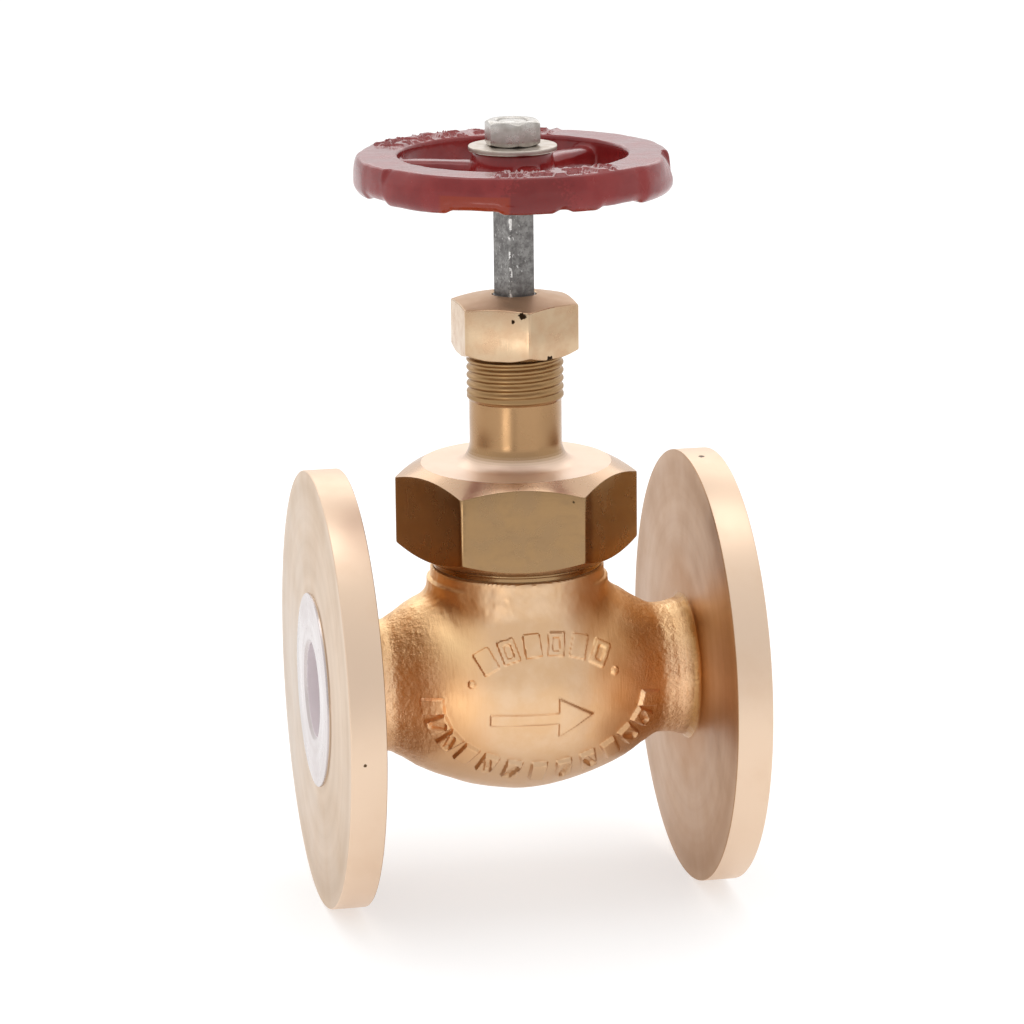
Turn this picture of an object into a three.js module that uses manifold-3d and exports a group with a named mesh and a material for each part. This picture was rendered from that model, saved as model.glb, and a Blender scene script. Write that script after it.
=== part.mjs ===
// A flanged bronze stop valve with a rising spindle and a cast-iron handwheel.
// Millimetres, +Z up. X runs along the pipe, from the inlet (-X) to the outlet (+X).
// The origin is on the floor under the spindle, where the valve stands on its two flanges.
// Heights named ..._Z are counted from the pipe's axis.
// The valve is drawn closed: its disc is down on its seat.

import * as THREE from 'three';
import * as BufferGeometryUtils from 'three/addons/utils/BufferGeometryUtils.js';
import Module from 'manifold-3d';

const wasm = await Module();
wasm.setup();

const DEGREE = Math.PI / 180;

// Clearance between neighbouring pieces.
const GAP = 0.3;

// Pipe flanges.
const FLANGE_RADIUS = 57.5;
const FLANGE_FACE_X = 54.26;
const FLANGE_THICKNESS = 9.3;
const FLANGE_EDGE_BREAK = 0.5;
const RAISED_FACE_RADIUS = 25.4;
const RAISED_FACE_HEIGHT = 0.8;
const NECK_RADIUS = 17.4;
const NECK_FILLET = 3.0;
const PORT_RADIUS = 12.5;

// Globe of the body: [distance along the pipe, radius] from its middle to the neck.
const GLOBE_OUTLINE = [[0, 29.4], [12, 27.8], [20, 25.4], [28, 21.9], [34, 18.5], [38, NECK_RADIUS]];
const CHAMBER_OUTLINE = [[0, 24.6], [12, 23.0], [20, 20.6], [26, 17.0], [32, PORT_RADIUS]];

// Boss that takes the bonnet.
const BOSS_RADIUS = 23.8;
const BOSS_TOP_Z = 28.8;
const BOSS_BORE_RADIUS = 20.5;
const BOSS_BORE_FLOOR_Z = 12.0;

// Wall between the inlet side and the outlet side, with the seat in its level middle.
const BRIDGE_TOP_Z = -1.2;
const BRIDGE_THICKNESS = 5.0;
const BRIDGE_HALF_LENGTH = 20.0;
const BRIDGE_HALF_WIDTH = 26.0;

// Seat ring.
const SEAT_SLEEVE_RADIUS = 15.0;
const SEAT_THROAT_RADIUS = 12.0;
const SEAT_FLANGE_RADIUS = 17.2;
const SEAT_FLANGE_THICKNESS = 2.5;
const SEAT_LIP_RADIUS = 13.6;
const SEAT_LIP_HEIGHT = 0.8;

// Bonnet: skirt screwed into the boss, hexagon, neck and gland thread in one piece.
const SKIRT_BOTTOM_Z = 17.0;
const SKIRT_INNER_RADIUS = 17.2;
const COLLAR_RADIUS = 22.9;
const COLLAR_BOTTOM_Z = 30.0;
const BONNET_HEX_BOTTOM_Z = 33.8;
const BONNET_HEX_TOP_Z = 58.5;
const BONNET_HEX_ACROSS_FLATS = 55.0;
const BONNET_HEX_FACE_RADIUS = 24.8;
const BONNET_HEX_CORNER_ANGLE = 52.0;
const BONNET_NECK_RADIUS = 12.0;
const BONNET_NECK_FILLET_RADIUS = 16.0;
const BONNET_NECK_FILLET_TOP_Z = 64.2;
const GLAND_THREAD_RADIUS = 12.7;
const GLAND_THREAD_BOTTOM_Z = 75.6;
const BONNET_TOP_Z = 93.4;
const BONNET_ROOF_Z = 34.0;
const SPINDLE_NUT_TOP_Z = 67.7;
const STUFFING_BOX_RADIUS = 8.5;
const STUFFING_BOX_FLOOR_Z = 71.7;

// Gasket between the bonnet's collar and the boss.
const GASKET_OUTER_RADIUS = 21.9;

// Spindle.
const SPINDLE_FOOT_RADIUS = 9.3;
const SPINDLE_FOOT_BOTTOM_Z = 12.3;
const SPINDLE_FOOT_THICKNESS = 3.0;
const SPINDLE_WAIST_RADIUS = 6.6;
const SPINDLE_THREAD_RADIUS = 7.0;
const SPINDLE_THREAD_BOTTOM_Z = 26.0;
const SPINDLE_THREAD_TOP_Z = 58.0;
const SPINDLE_SHANK_RADIUS = 5.5;
const SPINDLE_SQUARE_BOTTOM_Z = 102.6;
const SPINDLE_SQUARE_TOP_Z = 139.4;
const SPINDLE_SQUARE_SIDE = 7.5;
const SPINDLE_SQUARE_CORNER_ANGLE = 68.6;
const SPINDLE_TIP_RADIUS = 3.9;
const SPINDLE_TIP_TOP_Z = 147.7;

// Disc holder, its soft seal and the nut that hangs it on the spindle's foot.
const HOLDER_RADIUS = 16.0;
const HOLDER_PLATE_BOTTOM_Z = 6.5;
const HOLDER_PLATE_TOP_Z = 11.5;
const HOLDER_SKIRT_BOTTOM_Z = 4.4;
const HOLDER_SKIRT_INNER_RADIUS = 15.2;
const HOLDER_BOSS_RADIUS = 13.5;
const HOLDER_BOSS_TOP_Z = 19.5;
const HOLDER_BORE_RADIUS = 10.9;
const HOLDER_STUD_RADIUS = 3.0;
const HOLDER_STUD_BOTTOM_Z = -4.5;
const SEAL_RADIUS = 14.9;
const SEAL_WASHER_RADIUS = 9.5;
const SEAL_WASHER_THICKNESS = 1.8;
const SEAL_NUT_ACROSS_FLATS = 10.0;
const SEAL_NUT_HEIGHT = 4.5;
const SWIVEL_NUT_ACROSS_FLATS = 22.0;
const SWIVEL_NUT_TOP_Z = 24.5;

// Packing and gland.
const PACKING_WASHER_THICKNESS = 1.5;
const PACKING_RING_COUNT = 5;
const PACKING_RING_HEIGHT = 2.6;
const FOLLOWER_FLANGE_RADIUS = 11.8;
const FOLLOWER_FLANGE_BOTTOM_Z = 96.0;
const FOLLOWER_TOP_Z = 98.7;
const GLAND_NUT_ACROSS_FLATS = 30.0;
const GLAND_NUT_CORNER_ANGLE = 28.9;
const GLAND_NUT_BOTTOM_Z = 87.5;
const GLAND_NUT_SHOULDER_Z = 100.4;
const GLAND_NUT_TOP_Z = 102.9;
const GLAND_NUT_ROOF_Z = 99.0;
const GLAND_NUT_CROWN_RADIUS = 6.6;

// Handwheel and the washer and nut that hold it.
const WHEEL_RADIUS = 40.4;
const WHEEL_INNER_RADIUS = 30.0;
const WHEEL_RIM_BOTTOM_Z = 130.1;
const WHEEL_RIM_TOP_Z = 139.3;
const WHEEL_LOBE_COUNT = 8;
const WHEEL_LOBE_HEIGHT = 0.6;
const WHEEL_HUB_RADIUS = 10.8;
const WHEEL_HUB_BOTTOM_Z = 127.5;
const WHEEL_HUB_TOP_Z = 140.0;
const WHEEL_FIRST_SPOKE_ANGLE = 38.6;
const WHEEL_SPOKE_COUNT = 3;
const WHEEL_SPOKE_WIDTH = 6.0;
const WHEEL_SPOKE_BOTTOM_Z = 131.4;
const WHEEL_SPOKE_TOP_Z = 137.2;
const WHEEL_WASHER_RADIUS = 11.4;
const WHEEL_WASHER_THICKNESS = 1.0;
const WHEEL_NUT_ACROSS_FLATS = 13.0;
const WHEEL_NUT_CORNER_ANGLE = 30.6;
const WHEEL_NUT_TOP_Z = 147.8;
const M8_HOLE_RADIUS = SPINDLE_TIP_RADIUS + GAP;

// Facets round each turned shape.
const FACETS_LARGE = 48;
const FACETS_MEDIUM = 36;
const FACETS_SMALL = 24;
const FACETS_WHEEL = 56;

// ---------------------------------------------------------------- solids

function solidOf(geometry) {
    const bare = geometry.clone();
    bare.deleteAttribute('normal');
    bare.deleteAttribute('uv');
    const merged = BufferGeometryUtils.mergeVertices(bare, 1e-4);
    const index = merged.index.array;
    const corners = [];
    for (let i = 0; i < index.length; i += 3) {
        const [a, b, c] = [index[i], index[i + 1], index[i + 2]];
        if (a !== b && b !== c && c !== a) {
            corners.push(a, b, c);
        }
    }
    const vertProperties = new Float32Array(merged.attributes.position.array);
    const triVerts = new Uint32Array(corners);
    return new wasm.Manifold(new wasm.Mesh({ numProp: 3, vertProperties, triVerts }));
}

function geometryOf(solid) {
    const mesh = solid.getMesh();
    const geometry = new THREE.BufferGeometry();
    geometry.setAttribute('position', new THREE.BufferAttribute(mesh.vertProperties, 3));
    geometry.setIndex(new THREE.BufferAttribute(mesh.triVerts, 1));
    return geometry;
}

// Turns an outline of [radius, height] points about Z. It runs anticlockwise, with the radius to
// the right, and either starts and ends on the axis or closes on itself.
function turned(outline, facets = FACETS_MEDIUM) {
    const points = outline.map(([radius, height]) => new THREE.Vector2(radius, height));
    return solidOf(new THREE.LatheGeometry(points, facets).rotateX(Math.PI / 2));
}

// Turns an outline of [radius, distance] points about X, with the middle of a facet underneath.
function turnedAboutPipe(outline, facets) {
    const points = outline.map(([radius, distance]) => new THREE.Vector2(radius, distance));
    const geometry = new THREE.LatheGeometry(points, facets).rotateZ(-Math.PI / 2);
    return solidOf(geometry.rotateX(Math.PI / facets));
}

function disc(radius, bottom, top, facets = FACETS_MEDIUM) {
    return turned([[0, bottom], [radius, bottom], [radius, top], [0, top]], facets);
}

function ring(innerRadius, outerRadius, bottom, top, facets = FACETS_MEDIUM) {
    return disc(outerRadius, bottom, top, facets).subtract(disc(innerRadius, bottom - 1, top + 1, facets));
}

// An upright prism on a regular polygon whose first corner is at cornerAngle degrees.
function prism(sides, cornerRadius, cornerAngle, bottom, top) {
    const corners = [];
    for (let i = 0; i < sides; i += 1) {
        const angle = cornerAngle * DEGREE + i * 2 * Math.PI / sides;
        corners.push(new THREE.Vector2(cornerRadius * Math.cos(angle), cornerRadius * Math.sin(angle)));
    }
    const geometry = new THREE.ExtrudeGeometry(new THREE.Shape(corners), {
        depth: top - bottom,
        bevelEnabled: false,
    });
    return solidOf(geometry.translate(0, 0, bottom));
}

function hexCornerRadius(acrossFlats) {
    return acrossFlats / 2 / Math.cos(30 * DEGREE);
}

// A hexagon with both ends turned to 30 degrees, leaving a round face of faceRadius at each.
function chamferedHex(acrossFlats, cornerAngle, bottom, top, faceRadius) {
    const cornerRadius = hexCornerRadius(acrossFlats);
    const drop = (cornerRadius - faceRadius) * Math.tan(30 * DEGREE);
    const blank = turned([
        [0, bottom], [faceRadius, bottom], [cornerRadius, bottom + drop],
        [cornerRadius, top - drop], [faceRadius, top], [0, top],
    ]);
    return prism(6, cornerRadius, cornerAngle, bottom - 1, top + 1).intersect(blank);
}

// Points on a quarter turn of a fillet, from angle start to angle end in degrees.
function arc(centreRadius, centreHeight, radius, start, end, steps) {
    const points = [];
    for (let i = 0; i <= steps; i += 1) {
        const angle = (start + (end - start) * i / steps) * DEGREE;
        points.push([centreRadius + radius * Math.cos(angle), centreHeight + radius * Math.sin(angle)]);
    }
    return points;
}

// A smooth [radius, distance] outline through [distance, radius] points and their mirror images.
function smoothOutline(half, steps) {
    const otherHalf = half.slice(1).map(([distance, radius]) => [-distance, radius]).reverse();
    const points = [...otherHalf, ...half].map(([distance, radius]) => new THREE.Vector2(distance, radius));
    return new THREE.SplineCurve(points).getPoints(steps).map((point) => [point.y, point.x]);
}

// Adds the same [radius, distance] end to both sides of an outline.
function withEnds(middle, end) {
    const otherEnd = end.map(([radius, distance]) => [radius, -distance]).reverse();
    return [...otherEnd, ...middle, ...end];
}

// ---------------------------------------------------------------- body

function bodyOutside() {
    const flangeBackX = FLANGE_FACE_X - FLANGE_THICKNESS;
    const fillet = arc(NECK_RADIUS + NECK_FILLET, flangeBackX - NECK_FILLET, NECK_FILLET, 180, 90, 3);
    const end = [
        ...fillet,
        [FLANGE_RADIUS - FLANGE_EDGE_BREAK, flangeBackX],
        [FLANGE_RADIUS, flangeBackX + FLANGE_EDGE_BREAK],
        [FLANGE_RADIUS, FLANGE_FACE_X - FLANGE_EDGE_BREAK],
        [FLANGE_RADIUS - FLANGE_EDGE_BREAK, FLANGE_FACE_X],
        [RAISED_FACE_RADIUS, FLANGE_FACE_X],
        [RAISED_FACE_RADIUS, FLANGE_FACE_X + RAISED_FACE_HEIGHT],
        [0, FLANGE_FACE_X + RAISED_FACE_HEIGHT],
    ];
    const boss = turned([
        [0, 0], [BOSS_RADIUS + 3, 8], [BOSS_RADIUS + 1.2, 18], [BOSS_RADIUS + 0.3, 23],
        [BOSS_RADIUS, BOSS_TOP_Z - 0.6], [BOSS_RADIUS - 0.6, BOSS_TOP_Z], [0, BOSS_TOP_Z],
    ]);
    const globe = smoothOutline(GLOBE_OUTLINE, 18);
    return turnedAboutPipe(withEnds(globe, end), FACETS_LARGE).add(boss);
}

// The level bridge and its two slopes: up to the roof on the inlet side, down to the floor on
// the outlet side. One side is the other turned half a turn about the bridge's middle.
function bridge() {
    const middleZ = BRIDGE_TOP_Z - BRIDGE_THICKNESS / 2;
    const bottomZ = BRIDGE_TOP_Z - BRIDGE_THICKNESS;
    const inletHalf = [
        [-BRIDGE_HALF_LENGTH - 2.5, bottomZ], [-BRIDGE_HALF_LENGTH - 12, 18],
        [-BRIDGE_HALF_LENGTH - 7, 18], [-BRIDGE_HALF_LENGTH, BRIDGE_TOP_Z],
    ];
    const outletHalf = inletHalf.map(([x, z]) => [-x, 2 * middleZ - z]);
    const corners = [...inletHalf, ...outletHalf].map(([x, z]) => new THREE.Vector2(x, z));
    const geometry = new THREE.ExtrudeGeometry(new THREE.Shape(corners), {
        depth: 2 * BRIDGE_HALF_WIDTH,
        bevelEnabled: false,
    });
    return solidOf(geometry.translate(0, 0, -BRIDGE_HALF_WIDTH).rotateX(Math.PI / 2));
}

function bodyCasting() {
    const portEndX = FLANGE_FACE_X + RAISED_FACE_HEIGHT + 1;
    const chamber = smoothOutline(CHAMBER_OUTLINE, 10);
    const passage = turnedAboutPipe(
        withEnds(chamber, [[PORT_RADIUS, portEndX], [0, portEndX]]), FACETS_MEDIUM,
    );
    const seatHole = disc(SEAT_SLEEVE_RADIUS + GAP, BRIDGE_TOP_Z - BRIDGE_THICKNESS - 1, BRIDGE_TOP_Z + 1);
    return bodyOutside()
        .subtract(passage.subtract(bridge()))
        .subtract(seatHole)
        .subtract(disc(BOSS_BORE_RADIUS, BOSS_BORE_FLOOR_Z, BOSS_TOP_Z + 1));
}

function seatRing() {
    const sleeveBottom = BRIDGE_TOP_Z - BRIDGE_THICKNESS;
    const flangeBottom = BRIDGE_TOP_Z + GAP;
    const flangeTop = flangeBottom + SEAT_FLANGE_THICKNESS;
    return turned([
        [SEAT_THROAT_RADIUS, sleeveBottom], [SEAT_SLEEVE_RADIUS, sleeveBottom],
        [SEAT_SLEEVE_RADIUS, flangeBottom], [SEAT_FLANGE_RADIUS, flangeBottom],
        [SEAT_FLANGE_RADIUS, flangeTop], [SEAT_LIP_RADIUS + 0.5, flangeTop],
        [SEAT_LIP_RADIUS, flangeTop + SEAT_LIP_HEIGHT],
        [SEAT_THROAT_RADIUS + 0.3, flangeTop + SEAT_LIP_HEIGHT],
        [SEAT_THROAT_RADIUS, flangeTop], [SEAT_THROAT_RADIUS, sleeveBottom],
    ]);
}

// ---------------------------------------------------------------- bonnet

function bonnet() {
    const filletDrop = BONNET_NECK_FILLET_TOP_Z - BONNET_HEX_TOP_Z;
    const filletReach = BONNET_NECK_FILLET_RADIUS - BONNET_NECK_RADIUS;
    const fillet = [];
    for (let i = 0; i <= 4; i += 1) {
        const angle = i * 22.5 * DEGREE;
        fillet.push([
            BONNET_NECK_FILLET_RADIUS - filletReach * Math.sin(angle),
            BONNET_NECK_FILLET_TOP_Z - filletDrop * Math.cos(angle),
        ]);
    }
    const round = turned([
        [0, SKIRT_BOTTOM_Z],
        [BOSS_BORE_RADIUS - GAP - 1, SKIRT_BOTTOM_Z],
        [BOSS_BORE_RADIUS - GAP, SKIRT_BOTTOM_Z + 1],
        [BOSS_BORE_RADIUS - GAP, COLLAR_BOTTOM_Z],
        [COLLAR_RADIUS, COLLAR_BOTTOM_Z],
        [COLLAR_RADIUS, BONNET_HEX_BOTTOM_Z + 1],
        ...fillet,
        [BONNET_NECK_RADIUS, GLAND_THREAD_BOTTOM_Z],
        [GLAND_THREAD_RADIUS, GLAND_THREAD_BOTTOM_Z + 0.7],
        [GLAND_THREAD_RADIUS, BONNET_TOP_Z - 0.8],
        [GLAND_THREAD_RADIUS - 0.8, BONNET_TOP_Z],
        [0, BONNET_TOP_Z],
    ]);
    const hexagon = chamferedHex(
        BONNET_HEX_ACROSS_FLATS, BONNET_HEX_CORNER_ANGLE,
        BONNET_HEX_BOTTOM_Z, BONNET_HEX_TOP_Z, BONNET_HEX_FACE_RADIUS,
    );
    const bore = turned([
        [0, SKIRT_BOTTOM_Z - 1],
        [SKIRT_INNER_RADIUS, SKIRT_BOTTOM_Z - 1],
        [SKIRT_INNER_RADIUS, BONNET_ROOF_Z],
        [SPINDLE_THREAD_RADIUS + GAP, BONNET_ROOF_Z],
        [SPINDLE_THREAD_RADIUS + GAP, SPINDLE_NUT_TOP_Z],
        [SPINDLE_SHANK_RADIUS + GAP, SPINDLE_NUT_TOP_Z],
        [SPINDLE_SHANK_RADIUS + GAP, STUFFING_BOX_FLOOR_Z],
        [STUFFING_BOX_RADIUS, STUFFING_BOX_FLOOR_Z],
        [STUFFING_BOX_RADIUS, BONNET_TOP_Z + 1],
        [0, BONNET_TOP_Z + 1],
    ]);
    return round.add(hexagon).subtract(bore);
}

function bonnetGasket() {
    return ring(BOSS_BORE_RADIUS, GASKET_OUTER_RADIUS, BOSS_TOP_Z + GAP, COLLAR_BOTTOM_Z - GAP);
}

// ---------------------------------------------------------------- spindle and disc

function spindle() {
    const waistBottom = SPINDLE_FOOT_BOTTOM_Z + SPINDLE_FOOT_THICKNESS;
    const round = turned([
        [0, SPINDLE_FOOT_BOTTOM_Z],
        [SPINDLE_FOOT_RADIUS, SPINDLE_FOOT_BOTTOM_Z],
        [SPINDLE_FOOT_RADIUS, waistBottom],
        [SPINDLE_WAIST_RADIUS, waistBottom],
        [SPINDLE_WAIST_RADIUS, SPINDLE_THREAD_BOTTOM_Z],
        [SPINDLE_THREAD_RADIUS, SPINDLE_THREAD_BOTTOM_Z],
        [SPINDLE_THREAD_RADIUS, SPINDLE_THREAD_TOP_Z],
        [SPINDLE_SHANK_RADIUS, SPINDLE_THREAD_TOP_Z],
        [SPINDLE_SHANK_RADIUS, SPINDLE_SQUARE_BOTTOM_Z],
        [0, SPINDLE_SQUARE_BOTTOM_Z],
    ], FACETS_SMALL);
    const square = prism(
        4, SPINDLE_SQUARE_SIDE / Math.SQRT2, SPINDLE_SQUARE_CORNER_ANGLE,
        SPINDLE_SQUARE_BOTTOM_Z - 1, SPINDLE_SQUARE_TOP_Z,
    );
    const tip = turned([
        [0, SPINDLE_SQUARE_TOP_Z - 1],
        [SPINDLE_TIP_RADIUS - 0.3, SPINDLE_SQUARE_TOP_Z - 1],
        [SPINDLE_TIP_RADIUS, SPINDLE_SQUARE_TOP_Z],
        [SPINDLE_TIP_RADIUS, SPINDLE_TIP_TOP_Z - 0.8],
        [SPINDLE_TIP_RADIUS - 0.8, SPINDLE_TIP_TOP_Z],
        [0, SPINDLE_TIP_TOP_Z],
    ], FACETS_SMALL);
    return round.add(square).add(tip);
}

function discHolder() {
    const boreFloor = SPINDLE_FOOT_BOTTOM_Z - GAP;
    return turned([
        [0, HOLDER_STUD_BOTTOM_Z],
        [HOLDER_STUD_RADIUS, HOLDER_STUD_BOTTOM_Z],
        [HOLDER_STUD_RADIUS, HOLDER_PLATE_BOTTOM_Z],
        [HOLDER_SKIRT_INNER_RADIUS, HOLDER_PLATE_BOTTOM_Z],
        [HOLDER_SKIRT_INNER_RADIUS, HOLDER_SKIRT_BOTTOM_Z],
        [HOLDER_RADIUS, HOLDER_SKIRT_BOTTOM_Z],
        [HOLDER_RADIUS, HOLDER_PLATE_TOP_Z],
        [HOLDER_BOSS_RADIUS, HOLDER_PLATE_TOP_Z],
        [HOLDER_BOSS_RADIUS, HOLDER_BOSS_TOP_Z],
        [HOLDER_BORE_RADIUS, HOLDER_BOSS_TOP_Z],
        [HOLDER_BORE_RADIUS, boreFloor],
        [0, boreFloor],
    ], FACETS_SMALL);
}

const SEAT_LIP_TOP_Z = BRIDGE_TOP_Z + GAP + SEAT_FLANGE_THICKNESS + SEAT_LIP_HEIGHT;
const SEAL_BOTTOM_Z = SEAT_LIP_TOP_Z + GAP;
const SEAL_TOP_Z = HOLDER_PLATE_BOTTOM_Z - GAP;
const STUD_HOLE_RADIUS = HOLDER_STUD_RADIUS + GAP;

function discSeal() {
    return ring(STUD_HOLE_RADIUS, SEAL_RADIUS, SEAL_BOTTOM_Z, SEAL_TOP_Z, FACETS_SMALL);
}

function sealWasher() {
    const top = SEAL_BOTTOM_Z - GAP;
    return ring(STUD_HOLE_RADIUS, SEAL_WASHER_RADIUS, top - SEAL_WASHER_THICKNESS, top, FACETS_SMALL);
}

function sealNut() {
    const top = SEAL_BOTTOM_Z - GAP - SEAL_WASHER_THICKNESS - GAP;
    const bottom = top - SEAL_NUT_HEIGHT;
    const faceRadius = SEAL_NUT_ACROSS_FLATS / 2 - 0.2;
    return chamferedHex(SEAL_NUT_ACROSS_FLATS, 0, bottom, top, faceRadius)
        .subtract(disc(STUD_HOLE_RADIUS, bottom - 1, top + 1, FACETS_SMALL));
}

function discSwivelNut() {
    const threadBottom = SPINDLE_FOOT_BOTTOM_Z + SPINDLE_FOOT_THICKNESS + GAP;
    const headBottom = HOLDER_BOSS_TOP_Z + GAP;
    const head = chamferedHex(
        SWIVEL_NUT_ACROSS_FLATS, 0, headBottom, SWIVEL_NUT_TOP_Z, SWIVEL_NUT_ACROSS_FLATS / 2 - 0.3,
    );
    return head
        .add(disc(HOLDER_BORE_RADIUS - GAP, threadBottom, headBottom + 1, FACETS_SMALL))
        .subtract(disc(SPINDLE_THREAD_RADIUS + GAP, threadBottom - 1, SWIVEL_NUT_TOP_Z + 1, FACETS_SMALL));
}

// ---------------------------------------------------------------- packing and gland

const PACKING_INNER_RADIUS = SPINDLE_SHANK_RADIUS + GAP;
const PACKING_OUTER_RADIUS = STUFFING_BOX_RADIUS - GAP;
const PACKING_BOTTOM_Z = STUFFING_BOX_FLOOR_Z + GAP + PACKING_WASHER_THICKNESS + GAP;

function packingBaseWasher() {
    const bottom = STUFFING_BOX_FLOOR_Z + GAP;
    return ring(
        PACKING_INNER_RADIUS, PACKING_OUTER_RADIUS, bottom, bottom + PACKING_WASHER_THICKNESS, FACETS_SMALL,
    );
}

function packingRing(number) {
    const bottom = PACKING_BOTTOM_Z + number * (PACKING_RING_HEIGHT + GAP);
    return ring(
        PACKING_INNER_RADIUS, PACKING_OUTER_RADIUS, bottom, bottom + PACKING_RING_HEIGHT, FACETS_SMALL,
    );
}

function glandFollower() {
    const sleeveBottom = PACKING_BOTTOM_Z + PACKING_RING_COUNT * (PACKING_RING_HEIGHT + GAP);
    return turned([
        [PACKING_INNER_RADIUS, sleeveBottom], [PACKING_OUTER_RADIUS, sleeveBottom],
        [PACKING_OUTER_RADIUS, FOLLOWER_FLANGE_BOTTOM_Z], [FOLLOWER_FLANGE_RADIUS, FOLLOWER_FLANGE_BOTTOM_Z],
        [FOLLOWER_FLANGE_RADIUS, FOLLOWER_TOP_Z], [PACKING_INNER_RADIUS, FOLLOWER_TOP_Z],
        [PACKING_INNER_RADIUS, sleeveBottom],
    ], FACETS_SMALL);
}

function glandNut() {
    const cornerRadius = hexCornerRadius(GLAND_NUT_ACROSS_FLATS);
    const blank = turned([
        [0, GLAND_NUT_BOTTOM_Z], [cornerRadius - 2, GLAND_NUT_BOTTOM_Z],
        [cornerRadius, GLAND_NUT_BOTTOM_Z + 1.2], [cornerRadius, GLAND_NUT_SHOULDER_Z],
        [GLAND_NUT_CROWN_RADIUS, GLAND_NUT_TOP_Z], [0, GLAND_NUT_TOP_Z],
    ]);
    return prism(6, cornerRadius, GLAND_NUT_CORNER_ANGLE, GLAND_NUT_BOTTOM_Z - 1, GLAND_NUT_TOP_Z + 1)
        .intersect(blank)
        .subtract(disc(GLAND_THREAD_RADIUS + GAP, GLAND_NUT_BOTTOM_Z - 1, GLAND_NUT_ROOF_Z))
        .subtract(disc(PACKING_INNER_RADIUS, GLAND_NUT_ROOF_Z - 1, GLAND_NUT_TOP_Z + 1, FACETS_SMALL));
}

// ---------------------------------------------------------------- handwheel

// The rim's outer side swells into shallow lobes that the fingers close round.
function wheelRim() {
    const outline = [
        [WHEEL_INNER_RADIUS + 1.2, WHEEL_RIM_BOTTOM_Z + 0.5],
        [WHEEL_RADIUS - 1.2, WHEEL_RIM_BOTTOM_Z],
        [WHEEL_RADIUS, WHEEL_RIM_BOTTOM_Z + 2.0],
        [WHEEL_RADIUS, WHEEL_RIM_TOP_Z - 3.4],
        [WHEEL_RADIUS - 1.0, WHEEL_RIM_TOP_Z - 0.6],
        [WHEEL_RADIUS - 2.2, WHEEL_RIM_TOP_Z],
        [WHEEL_INNER_RADIUS + 1.0, WHEEL_RIM_TOP_Z],
        [WHEEL_INNER_RADIUS, WHEEL_RIM_TOP_Z - 1.0],
        [WHEEL_INNER_RADIUS, WHEEL_RIM_BOTTOM_Z + 2.0],
        [WHEEL_INNER_RADIUS + 1.2, WHEEL_RIM_BOTTOM_Z + 0.5],
    ];
    const points = outline.map(([radius, height]) => new THREE.Vector2(radius, height));
    const geometry = new THREE.LatheGeometry(points, FACETS_WHEEL).rotateX(Math.PI / 2);
    const position = geometry.attributes.position;
    for (let i = 0; i < position.count; i += 1) {
        const x = position.getX(i);
        const y = position.getY(i);
        const radius = Math.hypot(x, y);
        const outward = (radius - WHEEL_INNER_RADIUS) / (WHEEL_RADIUS - WHEEL_INNER_RADIUS);
        const swell = WHEEL_LOBE_HEIGHT * outward * Math.cos(WHEEL_LOBE_COUNT * Math.atan2(y, x));
        position.setX(i, x * (1 + swell / radius));
        position.setY(i, y * (1 + swell / radius));
    }
    return solidOf(geometry);
}

function wheelSpoke(number) {
    const innerEnd = WHEEL_HUB_RADIUS - 3;
    const outerEnd = WHEEL_INNER_RADIUS + 3;
    const edgeRound = 0.8;
    const bottom = WHEEL_SPOKE_BOTTOM_Z + edgeRound;
    const top = WHEEL_SPOKE_TOP_Z - edgeRound;
    const side = new THREE.Shape();
    side.moveTo(innerEnd, bottom);
    side.lineTo(outerEnd, bottom);
    side.lineTo(outerEnd, top);
    side.quadraticCurveTo((innerEnd + outerEnd) / 2, top + 1.2, innerEnd, top);
    const width = WHEEL_SPOKE_WIDTH - 2 * edgeRound;
    const geometry = new THREE.ExtrudeGeometry(side, {
        depth: width,
        curveSegments: 4,
        bevelThickness: edgeRound,
        bevelSize: edgeRound,
        bevelSegments: 2,
    });
    geometry.translate(0, 0, -width / 2);
    geometry.rotateX(Math.PI / 2);
    geometry.rotateZ((WHEEL_FIRST_SPOKE_ANGLE + number * 360 / WHEEL_SPOKE_COUNT) * DEGREE);
    return solidOf(geometry);
}

function handwheel() {
    const holeCornerRadius = (SPINDLE_SQUARE_SIDE + 2 * GAP) / Math.SQRT2;
    const hub = turned([
        [0, WHEEL_HUB_BOTTOM_Z],
        [WHEEL_HUB_RADIUS - 2, WHEEL_HUB_BOTTOM_Z],
        [WHEEL_HUB_RADIUS - 0.5, WHEEL_HUB_BOTTOM_Z + 1.5],
        [WHEEL_HUB_RADIUS, WHEEL_HUB_TOP_Z - 1.5],
        [WHEEL_HUB_RADIUS - 1, WHEEL_HUB_TOP_Z],
        [0, WHEEL_HUB_TOP_Z],
    ], FACETS_SMALL);
    const hole = prism(
        4, holeCornerRadius, SPINDLE_SQUARE_CORNER_ANGLE, WHEEL_HUB_BOTTOM_Z - 1, WHEEL_HUB_TOP_Z + 1,
    );
    let wheel = wheelRim().add(hub);
    for (let i = 0; i < WHEEL_SPOKE_COUNT; i += 1) {
        wheel = wheel.add(wheelSpoke(i));
    }
    return wheel.subtract(hole);
}

function wheelWasher() {
    const bottom = WHEEL_HUB_TOP_Z + GAP;
    return ring(M8_HOLE_RADIUS, WHEEL_WASHER_RADIUS, bottom, bottom + WHEEL_WASHER_THICKNESS, FACETS_SMALL);
}

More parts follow.
